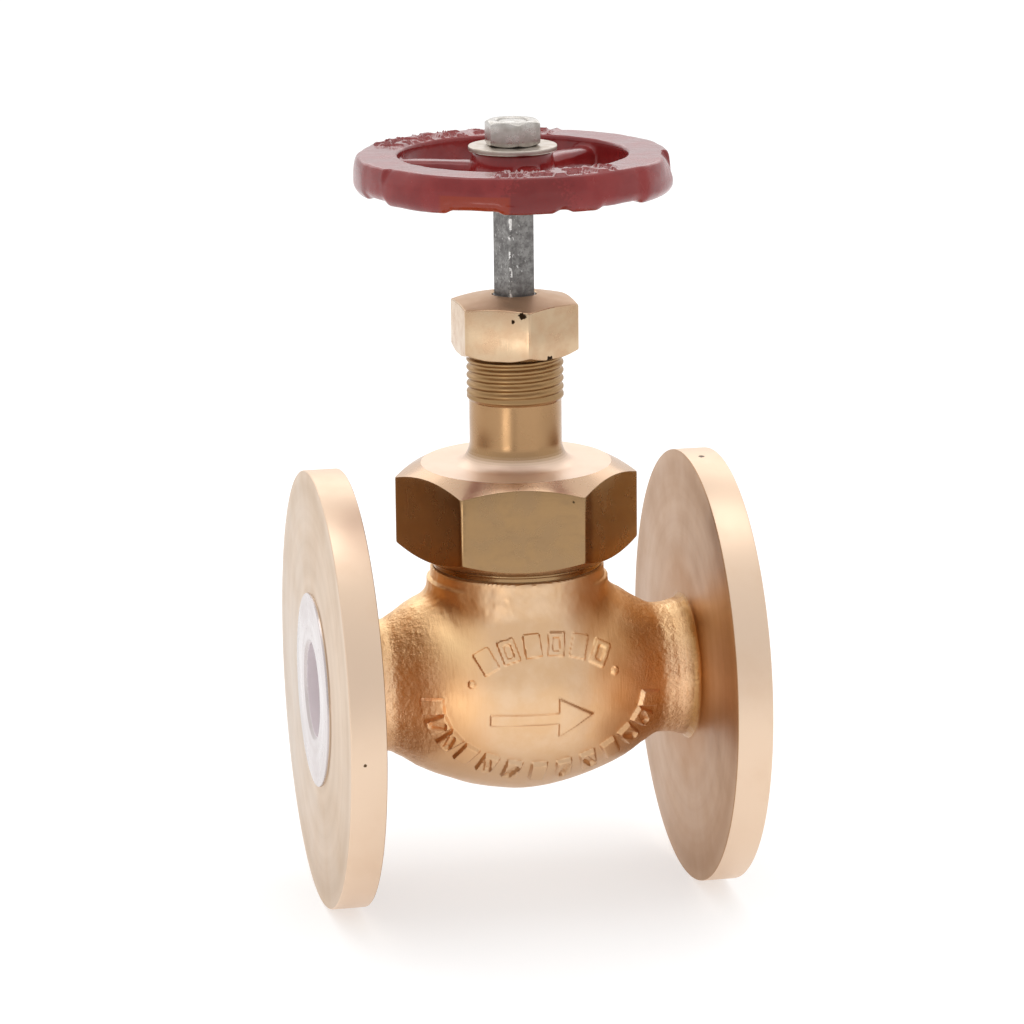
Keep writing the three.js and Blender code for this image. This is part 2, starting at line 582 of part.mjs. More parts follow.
function wheelNut() {
    const bottom = WHEEL_HUB_TOP_Z + GAP + WHEEL_WASHER_THICKNESS + GAP;
    const faceRadius = WHEEL_NUT_ACROSS_FLATS / 2 - 0.3;
    return chamferedHex(WHEEL_NUT_ACROSS_FLATS, WHEEL_NUT_CORNER_ANGLE, bottom, WHEEL_NUT_TOP_Z, faceRadius)
        .subtract(disc(M8_HOLE_RADIUS, bottom - 1, WHEEL_NUT_TOP_Z + 1, FACETS_SMALL));
}

// ---------------------------------------------------------------- materials and assembly

function metal(color, roughness) {
    return new THREE.MeshStandardMaterial({ color, roughness, metalness: 1.0 });
}

const castBronze = metal(0xc48a52, 0.45);
const turnedBronze = metal(0xc2966a, 0.28);
const palePolishedBronze = metal(0xd9b891, 0.25);
const brass = metal(0xc9a45c, 0.3);
const rolledSteel = metal(0x77736f, 0.45);
const zincSteel = metal(0x9c958c, 0.3);
const redPaint = new THREE.MeshStandardMaterial({ color: 0x7c2f2c, roughness: 0.3, metalness: 0.0 });
const rubber = new THREE.MeshStandardMaterial({ color: 0x1d1d1c, roughness: 0.7, metalness: 0.0 });
const graphite = new THREE.MeshStandardMaterial({ color: 0x3a3a3a, roughness: 0.6, metalness: 0.2 });
const fibre = new THREE.MeshStandardMaterial({ color: 0x6b4a33, roughness: 0.8, metalness: 0.0 });

const valve = new THREE.Group();
valve.position.z = FLANGE_RADIUS * Math.cos(Math.PI / FACETS_LARGE);

function place(name, solid, material) {
    const mesh = new THREE.Mesh(geometryOf(solid), material);
    mesh.name = name;
    valve.add(mesh);
}

place('body_casting', bodyCasting(), castBronze);
place('seat_ring', seatRing(), brass);
place('bonnet_gasket', bonnetGasket(), fibre);
place('bonnet', bonnet(), turnedBronze);
place('spindle', spindle(), rolledSteel);
place('disc_holder', discHolder(), brass);
place('disc_seal', discSeal(), rubber);
place('seal_washer', sealWasher(), brass);
place('seal_nut', sealNut(), brass);
place('disc_swivel_nut', discSwivelNut(), brass);
place('packing_base_washer', packingBaseWasher(), brass);
for (let i = 0; i < PACKING_RING_COUNT; i += 1) {
    place(`packing_ring_${i + 1}`, packingRing(i), graphite);
}
place('gland_follower', glandFollower(), brass);
place('gland_nut', glandNut(), palePolishedBronze);
place('handwheel', handwheel(), redPaint);
place('wheel_washer', wheelWasher(), zincSteel);
place('wheel_nut', wheelNut(), zincSteel);

const object = new THREE.Group();
object.add(valve);

export default object;
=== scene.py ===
"""A flanged bronze stop valve with a red handwheel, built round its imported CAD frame.

Shapes are worked out in millimetres, with heights counted from the pipe's axis, and to_frame() puts
them into the frame's metres.
"""

import math

import bpy
import numpy as np
from mathutils import Matrix, Vector


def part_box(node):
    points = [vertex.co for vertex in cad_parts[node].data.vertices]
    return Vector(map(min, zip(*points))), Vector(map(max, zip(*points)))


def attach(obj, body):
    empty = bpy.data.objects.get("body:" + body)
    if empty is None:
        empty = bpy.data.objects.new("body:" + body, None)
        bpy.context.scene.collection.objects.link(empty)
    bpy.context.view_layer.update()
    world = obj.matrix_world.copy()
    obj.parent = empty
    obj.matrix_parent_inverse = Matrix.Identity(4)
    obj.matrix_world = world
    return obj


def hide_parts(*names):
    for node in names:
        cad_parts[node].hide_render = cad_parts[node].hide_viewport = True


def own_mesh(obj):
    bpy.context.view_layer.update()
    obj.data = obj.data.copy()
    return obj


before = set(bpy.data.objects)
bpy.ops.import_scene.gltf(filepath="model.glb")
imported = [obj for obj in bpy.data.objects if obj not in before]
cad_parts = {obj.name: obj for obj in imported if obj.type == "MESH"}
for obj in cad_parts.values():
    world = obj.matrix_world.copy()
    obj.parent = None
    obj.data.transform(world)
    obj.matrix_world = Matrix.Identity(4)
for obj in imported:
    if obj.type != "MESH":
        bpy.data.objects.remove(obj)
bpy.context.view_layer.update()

TAU = 2 * math.pi
MM = 0.001

# --- sizes, in millimetres

body_low, body_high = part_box("body_casting")
AXIS_HEIGHT = (body_low.z + body_high.z) / 2 / MM
FLANGE_RADIUS = (body_high.z - body_low.z) / 2 / MM
FACE_X = body_high.x / MM


def heights(node):
    """A CAD node's bottom and top, counted from the pipe's axis."""
    low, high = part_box(node)
    return low.z / MM - AXIS_HEIGHT, high.z / MM - AXIS_HEIGHT


# Flanges and necks.
RAISED_HEIGHT = 0.8
RAISED_RADIUS = 25.4
FLANGE_THICKNESS = 9.3
FLANGE_FACE_X = FACE_X - RAISED_HEIGHT
FLANGE_BACK_X = FLANGE_FACE_X - FLANGE_THICKNESS
NECK_END_RADIUS = 18.4
NECK_FILLET = 2.2
PORT_RADIUS = 12.5
PORT_CHAMFER = 0.8

# Globe and chamber: distance along the pipe and radius, from the middle out to the neck.
GLOBE_END = 46
GLOBE_OUTLINE = (
    (0, 29.4), (12, 27.8), (20, 25.4), (28, 21.9),
    (32.5, 19.0), (35.5, 17.4), (39, 17.2), (GLOBE_END, NECK_END_RADIUS),
)
CHAMBER_OUTLINE = ((0, 24.6), (12, 23.0), (20, 20.6), (26, 17.0), (32, PORT_RADIUS), (40, PORT_RADIUS))
BRIDGE_TOP = -1.2
BRIDGE_THICKNESS = 5.0
BRIDGE_HALF_DEPTH = 26
SEAT_HOLE_RADIUS = 15.3

# Boss under the bonnet.
BOSS_RADIUS = 23.8
BOSS_FOOT = 6
BOSS_TOP = 31.0
BOSS_FLARE = 1.4
BOSS_STEP = 1.1
BOSS_EDGE = 0.6
BOSS_FILLET = 3.2
BOSS_BORE_RADIUS = 20.5
BOSS_BORE_BOTTOM = 12

# Raised marks on the body, as they look from the front: places are across and up.
ARROW_DROP = 3.4
DOT_RADIUS = 1.0
DOTS = ((-17.3, 6.1), (20.6, 6.9))
UPPER_MARK_HEIGHT = 0.6
LOWER_MARK_HEIGHT = 1.1

# Bonnet.
SKIRT_BOTTOM, BONNET_TOP = heights("bonnet")
SKIRT_BORE = 17.2
COLLAR_BOTTOM = 31.3
HEX_BOTTOM = 33.8
HEX_TOP = 58.3
HEX_CHAMFER = 28
HEX_APOTHEM = 27.5
HEX_FACE_RADIUS = 24.8
HEX_NORMAL = -98.0
TUBE_RADIUS = 12.0
TUBE_FOOT_RADIUS = 16.4
TUBE_FOOT_TOP = 64.2
THREAD_BOTTOM = 75.6
THREAD_RADIUS = 12.6
THREAD_DEPTH = 0.6
THREAD_PITCH = 25.4 / 12

# Packing: five turns of cord, squeezed from the top by the follower.
PACKING_TURNS = 5
PACKING_INNER = 5.85
PACKING_OUTER = 8.15
STRANDS = 40
STRAND_HEIGHT = 0.05

# Gland nut.
GLAND_BOTTOM, GLAND_TOP = heights("gland_nut")
GLAND_APOTHEM = 15.0
GLAND_NORMAL = -58.3
GLAND_BORE = 13.0
GLAND_INNER_TOP = 99.0
GLAND_CROWN = 12.5
GLAND_CROWN_RADIUS = 6.6

# Spindle.
SPINDLE_BOTTOM, SPINDLE_TOP = heights("spindle")
SHANK_RADIUS = 5.5
SPINDLE_THREAD_BOTTOM = 26.2
SPINDLE_THREAD_TOP = 58.0
SQUARE_APOTHEM = 3.75
SQUARE_NORMAL = -66.4
SQUARE_BOTTOM = 102.6
TIP_BOTTOM = 139.4
TIP_RADIUS = 3.9

# Handwheel: finger lobes as middle angle, half width and how far they stand out; flats ground on the
# rim as start angle, length round it, depth and drop; and patches of relief as middle and half width.
WHEEL_BOTTOM, WHEEL_TOP = heights("handwheel")
RIM_BOTTOM = 129.4
RIM_TOP = 139.3
RIM_INNER = 29.4
RIM_MIDDLE = 34.5
RIM_OUTER = 40.4
LOBE_DROP = 1.3
HUB_RADIUS = 10.8
SPOKE_ANGLES = (38.6, 158.6, 278.6)
SPOKE_HEIGHT = 133.9
LOBES = (
    (177.0, 14, 0.25), (219.6, 15, 0.25), (264.2, 11, 0.15), (285.9, 6.5, 0.15),
    (325.9, 14.6, 0.9), (33.1, 24.5, 0.6), (86.6, 14, 0.4), (131.6, 15, 0.4),
)
FLATS = ((204, 28, 1.8, 3.8), (352, -32, 2.0, 5.5))
MARKED_ARCS = ((-82, 27), (125, 24), (93.5, 3), (64, 4.5))
RELIEF_HEIGHT = 0.65

# Wheel washer and nut.
WASHER_BOTTOM, WASHER_TOP = heights("wheel_washer")
WASHER_HOLE = 4.3
WASHER_RADIUS = 11.4
NUT_TOP = heights("wheel_nut")[1]
NUT_APOTHEM = 6.5
NUT_FACE_RADIUS = 6.1
NUT_NORMAL = -59.4


# --- mesh building

def to_frame(points):
    """Millimetre points, heights from the pipe's axis, in the frame's metres."""
    points = np.asarray(points, float).copy()
    points[:, 2] += AXIS_HEIGHT
    return points * MM


def from_frame(points):
    points = np.asarray(points, float) / MM
    points[:, 2] -= AXIS_HEIGHT
    return points


def shade(obj, sharp):
    """Smooth shading, but for edges sharper than an angle in degrees."""
    obj.data.polygons.foreach_set("use_smooth", [True] * len(obj.data.polygons))
    obj.data.set_sharp_from_angle(angle=math.radians(sharp))
    return obj


def placed(name, data):
    obj = bpy.data.objects.new(name, data)
    bpy.context.scene.collection.objects.link(obj)
    return obj


def new_object(name, points, faces, sharp=180):
    mesh = bpy.data.meshes.new(name)
    mesh.from_pydata(to_frame(points).tolist(), [], faces)
    mesh.validate()
    mesh.update()
    return shade(placed(name, mesh), sharp)


def even_angles(count):
    return np.arange(count) * TAU / count


def polygon_angles(sides, first_normal, per_side):
    """Rising angles round a polygon, close together at its corners."""
    share = (np.arange(per_side) + 0.5) / per_side * 2 - 1
    within = np.sin(share * math.pi / 2) * math.pi / sides
    normals = math.radians(first_normal) + np.arange(sides) * TAU / sides
    return np.sort((normals[:, None] + within[None, :]).ravel() % TAU)


def polygon_radius(angles, apothem, sides, first_normal, sharpness=110):
    """Distance from the axis to a polygon's sides, with slightly rounded corners."""
    total = np.zeros_like(angles)
    for i in range(sides):
        facing = np.cos(angles - math.radians(first_normal) - i * TAU / sides)
        total += np.clip(facing, 0, None) ** sharpness
    return apothem / total ** (1 / sharpness)


def rounded(outline, default=0.3, steps=3):
    """An outline of (radius, height[, corner radius]) points with its corners rounded off."""
    points = [Vector(p[:2]) for p in outline]
    out = [tuple(points[0])]
    for i in range(1, len(points) - 1):
        before, here, after = points[i - 1], points[i], points[i + 1]
        size = outline[i][2] if len(outline[i]) > 2 else default
        back, on = before - here, after - here
        reach = min(size, back.length * 0.45, on.length * 0.45)
        if reach < 0.02 or abs(back.normalized().dot(on.normalized())) > 0.995:
            out.append(tuple(here))
            continue
        start = here + back.normalized() * reach
        end = here + on.normalized() * reach
        for k in range(steps + 1):
            t = k / steps
            point = start * (1 - t) ** 2 + here * 2 * t * (1 - t) + end * t ** 2
            out.append(tuple(point))
    out.append(tuple(points[-1]))
    return out


def quads(rows, count, closed=False):
    """Faces between rings of count points each. closed joins the last ring to the first."""
    row = np.arange(count)
    after = (row + 1) % count
    faces = []
    for i in range(rows if closed else rows - 1):
        a, b = i * count, (i + 1) % rows * count
        faces += np.stack((a + row, a + after, b + after, b + row), axis=-1).tolist()
    return faces


def fans(rows, count):
    """Faces that close the first and the last ring to the two points that follow the rings."""
    row = np.arange(count)
    after = (row + 1) % count
    low, high, top = rows * count, rows * count + 1, (rows - 1) * count
    faces = np.stack((np.full(count, low), after, row), axis=-1).tolist()
    return faces + np.stack((np.full(count, high), top + row, top + after), axis=-1).tolist()


def turned(name, rings, angles, axis="Z", closed=False, sharp=180):
    """A solid from rings of (radius, height) numbers or arrays round an axis, bottom to top outside."""
    radius = np.array([np.broadcast_to(np.asarray(r, float), angles.shape) for r, _ in rings])
    height = np.array([np.broadcast_to(np.asarray(z, float), angles.shape) for _, z in rings])
    across, along = radius * np.cos(angles), radius * np.sin(angles)
    parts = (height, across, along) if axis == "X" else (across, along, height)
    points = np.stack(parts, axis=-1).reshape(-1, 3)
    faces = quads(len(rings), len(angles), closed)
    if not closed:
        middle_low = [0, 0, float(height[0].mean())]
        middle_high = [0, 0, float(height[-1].mean())]
        if axis == "X":
            middle_low, middle_high = middle_low[::-1], middle_high[::-1]
        points = np.vstack((points, middle_low, middle_high))
        faces += fans(len(rings), len(angles))
    return new_object(name, points, faces, sharp)


def cylinder(name, radius, bottom, top):
    return turned(name, [(radius, bottom), (radius, top)], even_angles(160))


def applied(obj):
    """The object with its modifiers made part of its mesh."""
    graph = bpy.context.evaluated_depsgraph_get()
    mesh = bpy.data.meshes.new_from_object(obj.evaluated_get(graph))
    obj.modifiers.clear()
    obj.data = mesh
    return obj


def combine(target, other, operation):
    """Joins another solid to this one, or cuts it away. The other one is used up."""
    modifier = target.modifiers.new("combine", "BOOLEAN")
    modifier.operation = operation
    modifier.object = other
    modifier.solver = "MANIFOLD"
    applied(target)
    bpy.data.objects.remove(other)
    return target


def push_out(obj, height_at):
    """Moves an object's points along their normals by height_at(points, normals) millimetres."""
    mesh = obj.data
    points, normals = np.zeros((2, len(mesh.vertices) * 3), np.float32)
    mesh.vertices.foreach_get("co", points)
    mesh.vertex_normals.foreach_get("vector", normals)
    points, normals = from_frame(points.reshape(-1, 3)), normals.reshape(-1, 3).astype(float)
    points = points + normals * height_at(points, normals)[:, None]
    mesh.vertices.foreach_set("co", to_frame(points).astype(np.float32).ravel())
    mesh.update()


# --- noise

LATTICE_SIZE = 32
LATTICE = np.random.default_rng(7).random((LATTICE_SIZE, LATTICE_SIZE, LATTICE_SIZE))
SEED_SHIFT = 17.37


def noise(points, size, seed=0):
    """Smooth random values from -1 to 1 that vary over about size millimetres."""
    spot = np.asarray(points, float) / size + seed * SEED_SHIFT
    cell = np.floor(spot).astype(int)
    part = spot - cell
    part = part * part * (3 - 2 * part)
    total = np.zeros(len(spot))
    for corner in np.ndindex(2, 2, 2):
        weight = np.ones(len(spot))
        for k in range(3):
            weight *= part[:, k] if corner[k] else 1 - part[:, k]
        index = tuple((cell[:, k] + corner[k]) % LATTICE_SIZE for k in range(3))
        total += weight * LATTICE[index]
    return total * 2 - 1


def smooth_step(value, low, high):
    t = np.clip((value - low) / (high - low), 0, 1)
    return t * t * (3 - 2 * t)


# --- body casting

def outline_radius(outline, distance):
    """Radius of a symmetric outline at a distance along the pipe, smooth between its points."""
    xs = np.array([p[0] for p in outline], float)
    rs = np.array([p[1] for p in outline], float)
    xs = np.concatenate((-xs[:0:-1], xs))
    rs = np.concatenate((rs[:0:-1], rs))
    slopes = np.gradient(rs, xs)
    place = np.clip(distance, xs[0], xs[-1])
    k = np.clip(np.searchsorted(xs, place) - 1, 0, len(xs) - 2)
    width = xs[k + 1] - xs[k]
    t = (place - xs[k]) / width
    first = (1 + 2 * t) * (1 - t) ** 2 * rs[k] + t * (1 - t) ** 2 * width * slopes[k]
    return first + t ** 2 * (3 - 2 * t) * rs[k + 1] + t ** 2 * (t - 1) * width * slopes[k + 1]


def blend_min(a, b, reach):
    h = np.clip(0.5 + 0.5 * (b - a) / reach, 0, 1)
    return b * (1 - h) + a * h - reach * h * (1 - h)


def blend_max(a, b, reach):
    return -blend_min(-a, -b, reach)


def shell_depth(points):
    """How far inside the plain casting a point is, above zero inside.

    The boss flares towards its foot and steps in near its top, sharply over the necks and slowly at
    the front and back.
    """
    x, y, z = points.T
    globe = outline_radius(GLOBE_OUTLINE, x) - np.hypot(y, z)
    over_neck = smooth_step(x * x / (x * x + y * y + 1e-6), 0.45, 0.9)
    step_in = over_neck * smooth_step(z, 27.6, 28.3) + (1 - over_neck) * smooth_step(z, 22, BOSS_TOP)
    boss = BOSS_RADIUS + BOSS_FLARE * smooth_step(-z, -24, -15) - BOSS_STEP * step_in - np.hypot(x, y)
    boss = blend_min(boss, BOSS_TOP - z, BOSS_EDGE)
    boss = np.minimum(boss, z - BOSS_FOOT)
    casting = blend_max(globe, boss, BOSS_FILLET)
    return np.minimum(casting, GLOBE_END - np.abs(x))


def shell_rays():
    """Angles from the pipe's axis whose rays meet the globe at even spaces, and a few over its ends."""
    rows, end_rows = 330, 8
    distance = np.linspace(-GLOBE_END + 0.01, GLOBE_END - 0.01, 2000)
    radius = outline_radius(GLOBE_OUTLINE, distance)
    length = np.concatenate(([0], np.cumsum(np.hypot(np.diff(distance), np.diff(radius)))))
    even = np.interp(np.linspace(0, length[-1], rows), length, distance)
    tilt = np.arctan2(outline_radius(GLOBE_OUTLINE, even), even)
    cap = np.linspace(0, tilt[-1], end_rows + 2)[1:-1]
    return np.concatenate((math.pi - cap, tilt, cap[::-1]))


def arrow_distance(u, v):
    """Distance to a plain flow arrow that points to +u, below zero inside."""
    shaft = np.maximum(np.abs(u + 3.6) - 9.4, np.abs(v) - 1.5)
    head = np.maximum(np.abs(v) * 0.87 + (u - 14.2) * 0.49, 4.6 - u)
    return np.minimum(shaft, head)


def block_distance(u, v, centre, turn, half_width, half_height):
    """Distance to a rounded block, below zero inside."""
    corner_radius = 0.35
    du, dv = u - centre[0], v - centre[1]
    a = np.abs(du * math.cos(turn) + dv * math.sin(turn)) - half_width
    b = np.abs(-du * math.sin(turn) + dv * math.cos(turn)) - half_height
    outside = np.hypot(np.maximum(a, 0), np.maximum(b, 0))
    return outside + np.minimum(np.maximum(a, b), 0) - corner_radius


def block_row(u, v, middle, half_axes, angles, half_size, hollow, hollow_turn, solid_every):
    """Distance to blocks spaced round an ellipse. The ones between the solid ones are hollow."""
    nearest = np.full(len(u), np.inf)
    for i, angle in enumerate(angles):
        across, up = half_axes[0] * math.cos(angle), half_axes[1] * math.sin(angle)
        centre = (middle[0] + across, middle[1] + up)
        turn = math.atan2(half_axes[1] * math.cos(angle), -half_axes[0] * math.sin(angle))
        block = block_distance(u, v, centre, turn, *half_size)
        if i % solid_every:
            cut = block_distance(u, v, centre, turn + hollow_turn * (-1) ** i, *hollow)
            block = np.maximum(block, -cut)
        nearest = np.minimum(nearest, block)
    return nearest


def front_marks(points, side):
    """Height of the raised marks on the front or back: an arrow, two dots and two rows of blocks."""
    u, v = points[:, 0] * side, points[:, 2]
    upper_angles = np.radians(119 - 11.6 * np.arange(6))
    lower_angles = np.radians(184 + 13.8 * np.arange(13))
    raised = arrow_distance(points[:, 0], v + ARROW_DROP)
    for centre in DOTS:
        raised = np.minimum(raised, np.hypot(u - centre[0], v - centre[1]) - DOT_RADIUS)
    upper = block_row(u, v, (1.7, -15.4), (31, 31), upper_angles, (1.9, 2.6), (0.5, 1.2), 0.0, 2)
    lower = block_row(u, v, (2.0, 1.4), (29.0, 20.6), lower_angles, (1.8, 2.5), (0.3, 1.4), 0.5, 3)
    facing = smooth_step(-points[:, 1] * side, 5, 10)
    upper_height = UPPER_MARK_HEIGHT * smooth_step(-np.minimum(raised, upper), -0.1, 0.28)
    lower_height = LOWER_MARK_HEIGHT * smooth_step(-lower, -0.15, 0.45)
    return facing * np.maximum(upper_height, lower_height)


def casting_texture(points):
    """Height of the sand-cast surface: lumps everywhere, grain on the necks and under the boss."""
    x, y, z = points.T
    rough = smooth_step(np.abs(x), 22, 33) + 0.75 * smooth_step(z, 17, 26)
    rough = np.clip(rough + 0.35 * noise(points, 7.0, 3), 0.04, 1)
    lumps = 0.16 * noise(points, 9.0, 1) + 0.07 * noise(points, 4.2, 2)
    grain = 0.06 * noise(points, 1.5, 4) + 0.05 * noise(points, 0.85, 5)
    return lumps + rough * grain + 0.01 * noise(points, 1.0, 8)


def shell_normals(points):
    """Which way the plain casting's surface faces, from how its depth changes."""
    step = 0.05 * np.eye(3)
    changes = [shell_depth(points + step[k]) - shell_depth(points - step[k]) for k in range(3)]
    slope = np.stack(changes, axis=-1)
    return -slope / np.linalg.norm(slope, axis=1)[:, None]


def casting_shell():
    """The outside of the globe, necks and boss, found along rays from the body's middle."""
    tilt, spin = shell_rays(), even_angles(500)
    direction = np.stack((
        np.repeat(np.cos(tilt), len(spin)),
        np.outer(np.sin(tilt), np.cos(spin)).ravel(),
        np.outer(np.sin(tilt), np.sin(spin)).ravel(),
    ), axis=-1)
    near, far = np.full(len(direction), 2.0), np.full(len(direction), 75.0)
    for _ in range(28):
        middle = (near + far) / 2
        inside = shell_depth(direction * middle[:, None]) > 0
        near = np.where(inside, middle, near)
        far = np.where(inside, far, middle)
    points = direction * near[:, None]
    free_of_ends = smooth_step(GLOBE_END - 1.2 - np.abs(points[:, 0]), 0, 1)
    free_of_top = smooth_step(BOSS_TOP - points[:, 2], 0.1, 0.6)
    height = casting_texture(points) + front_marks(points, 1) + front_marks(points, -1)
    points = points + shell_normals(points) * (height * (free_of_ends * free_of_top))[:, None]
    points = np.vstack((points, [-GLOBE_END, 0, 0], [GLOBE_END, 0, 0]))
    faces = quads(len(tilt), len(spin)) + fans(len(tilt), len(spin))
    return new_object("body_casting_shell", points, faces)


def flange(side):
    """One flange with its rough fillet, turned about the pipe. Its root is hidden in the neck."""
    start = NECK_END_RADIUS - 0.35
    root = [(10.0, 37.0), (15.5, 37.0), (start - 1.2, 38.5)]
    angles = even_angles(360)
    rough_fillet = []
    for turn in np.radians(np.linspace(0, 90, 9))[:-1]:
        radius = start + NECK_FILLET * (1 - math.cos(turn))
        distance = FLANGE_BACK_X - NECK_FILLET * (1 - math.sin(turn))
        along = np.full(len(angles), side * distance)
        spots = np.stack((along, radius * np.cos(angles), radius * np.sin(angles)), axis=-1)
        bumps = 0.22 * noise(spots, 5.0, 31) + 0.12 * noise(spots, 1.6, 32)
        rough_fillet.append((radius + bumps, distance))
    outline = root + rough_fillet + rounded([
        (start + NECK_FILLET, FLANGE_BACK_X),
        (30, FLANGE_BACK_X),
        (FLANGE_RADIUS, FLANGE_BACK_X, 0.45),
        (FLANGE_RADIUS, FLANGE_FACE_X, 0.55),
        (RAISED_RADIUS, FLANGE_FACE_X, 0.25),
        (RAISED_RADIUS, FACE_X, 0.35),
        (PORT_RADIUS + PORT_CHAMFER, FACE_X, 0.1),
        (PORT_RADIUS, FACE_X - PORT_CHAMFER, 0.1),
        (10.0, FACE_X - PORT_CHAMFER),
    ])
    if side < 0:
        outline = [(radius, -distance) for radius, distance in outline][::-1]
    return turned("flange", outline, angles, axis="X")


def chamber():
    """The water's way through the body, less the bridge that holds the seat."""
    distance = np.linspace(-39, 39, 79)
    outline = [(float(r), float(d)) for d, r in zip(distance, outline_radius(CHAMBER_OUTLINE, distance))]
    outline = [(PORT_RADIUS, -FACE_X - 2)] + outline + [(PORT_RADIUS, FACE_X + 2)]
    passage = turned("passage", outline, even_angles(160), axis="X")
    middle = BRIDGE_TOP - BRIDGE_THICKNESS / 2
    inlet_half = [(-22.5, BRIDGE_TOP - BRIDGE_THICKNESS), (-32, 18), (-27, 18), (-20, BRIDGE_TOP)]
    corners = inlet_half + [(-x, 2 * middle - z) for x, z in inlet_half]
    points = [(x, y, z) for y in (-BRIDGE_HALF_DEPTH, BRIDGE_HALF_DEPTH) for x, z in corners]
    count = len(corners)
    faces = [list(range(count))[::-1], list(range(count, 2 * count))]
    faces += [[i, (i + 1) % count, count + (i + 1) % count, count + i] for i in range(count)]
    return combine(passage, new_object("bridge", points, faces), "DIFFERENCE")


def body_casting():
    body = casting_shell()
    seat_hole = (SEAT_HOLE_RADIUS, BRIDGE_TOP - BRIDGE_THICKNESS - 1, BRIDGE_TOP + 1)
    combine(body, flange(-1), "UNION")
    combine(body, flange(1), "UNION")
    combine(body, chamber(), "DIFFERENCE")
    combine(body, cylinder("seat_hole", *seat_hole), "DIFFERENCE")
    combine(body, cylinder("boss_bore", BOSS_BORE_RADIUS, BOSS_BORE_BOTTOM, BOSS_TOP + 1), "DIFFERENCE")
    return shade(body, 32)


# --- bonnet, gasket, packing and gland nut

def thread_radius(height, angles, major, depth, pitch, bottom, top):
    """Radius on a right-handed thread that runs out at both ends."""
    turn = height / pitch - angles / TAU
    form = smooth_step(np.abs((turn % 1) * 2 - 1), 0.12, 0.88)
    run_in = smooth_step(height, bottom - 0.1, bottom + pitch * 0.8)
    run_out = smooth_step(-height, -top, -top + pitch * 0.6)
    return major - depth * (1 - form) * (run_in * run_out)


def thread_rings(angles, start, stop, step, *form):
    """Rings up a thread. form holds what thread_radius asks for after the angles."""
    return [(thread_radius(height, angles, *form), height) for height in np.arange(start, stop, step)]


def hexagon_rings(angles, apothem, normal, bottom, top, face_radius, edge=0.35):
    """Rings up the outside of a hexagon whose ends are chamfered in a lathe."""
    side = polygon_radius(angles, apothem, 6, normal)
    chamfer = math.radians(HEX_CHAMFER)
    fall = (side - face_radius) * math.tan(chamfer)
    low, high = bottom + fall, top - fall
    inward, rise = edge * math.cos(chamfer), edge * math.sin(chamfer)
    corner = edge * 0.22
    middle = face_radius + (side - face_radius) * 0.5
    rings = [
        (face_radius, bottom),
        (middle, bottom + fall * 0.5),
        (side - inward, low - rise),
        (side - corner, low - corner * 0.2),
        (side, low + edge),
    ]
    rings += [(side, low + (high - low) * share) for share in (0.25, 0.5, 0.75)]
    return rings + [
        (side, high - edge),
        (side - corner, high + corner * 0.2),
        (side - inward, high + rise),
        (middle, top - fall * 0.5),
        (face_radius, top),
    ]


def bonnet():
    angles = polygon_angles(6, HEX_NORMAL, 44)
    skirt = rounded([
        (SKIRT_BORE, SKIRT_BOTTOM + 1), (SKIRT_BORE, SKIRT_BOTTOM), (20.2, SKIRT_BOTTOM, 0.8),
        (20.2, COLLAR_BOTTOM), (22.2, COLLAR_BOTTOM, 0.2), (22.2, 32.3, 0.2), (23.1, 32.7, 0.2),
        (23.1, 33.2, 0.2), (22.6, 33.5, 0.1), (22.6, HEX_BOTTOM), (HEX_FACE_RADIUS, HEX_BOTTOM),
    ])[:-1]
    hexagon = hexagon_rings(angles, HEX_APOTHEM, HEX_NORMAL, HEX_BOTTOM, HEX_TOP, HEX_FACE_RADIUS)
    drop = TUBE_FOOT_TOP - HEX_TOP
    reach = TUBE_FOOT_RADIUS - TUBE_RADIUS
    foot = []
    for angle in np.radians(np.linspace(0, 90, 13)):
        radius = TUBE_FOOT_RADIUS - reach * math.sin(angle)
        foot.append((radius, TUBE_FOOT_TOP - drop * math.cos(angle)))
    neck = rounded([
        (TUBE_RADIUS, TUBE_FOOT_TOP + 2), (TUBE_RADIUS, 70),
        (TUBE_RADIUS, THREAD_BOTTOM - 0.5, 0.2), (THREAD_RADIUS - 0.25, THREAD_BOTTOM, 0.15),
        (THREAD_RADIUS, THREAD_BOTTOM + 0.3),
    ])
    form = (THREAD_RADIUS, THREAD_DEPTH, THREAD_PITCH, THREAD_BOTTOM + 0.5, BONNET_TOP)
    thread = thread_rings(angles, THREAD_BOTTOM + 0.45, BONNET_TOP - 1.0, THREAD_PITCH / 12, *form)
    inside = rounded([
        (THREAD_RADIUS - 0.7, BONNET_TOP - 0.7), (THREAD_RADIUS - 1.2, BONNET_TOP), (8.5, BONNET_TOP),
        (8.5, 71.7), (5.8, 71.7), (5.8, 67.7), (7.3, 67.7), (7.3, 34.0), (SKIRT_BORE, 34.0),
        (SKIRT_BORE, SKIRT_BOTTOM + 1.2),
    ])
    rings = skirt + hexagon + foot + neck + thread + inside
    return turned("bonnet_turned", rings, angles, closed=True, sharp=24)


def gasket():
    inner, outer, gap = 20.7, 22.1, 0.03
    outline = rounded([
        (inner, BOSS_TOP + 0.12), (inner, BOSS_TOP + gap, 0.05), (outer, BOSS_TOP + gap, 0.1),
        (outer, COLLAR_BOTTOM - gap, 0.1), (inner, COLLAR_BOTTOM - gap, 0.05), (inner, COLLAR_BOTTOM - 0.1),
    ])[:-1]
    return turned("bonnet_gasket_ring", outline, even_angles(160), closed=True)


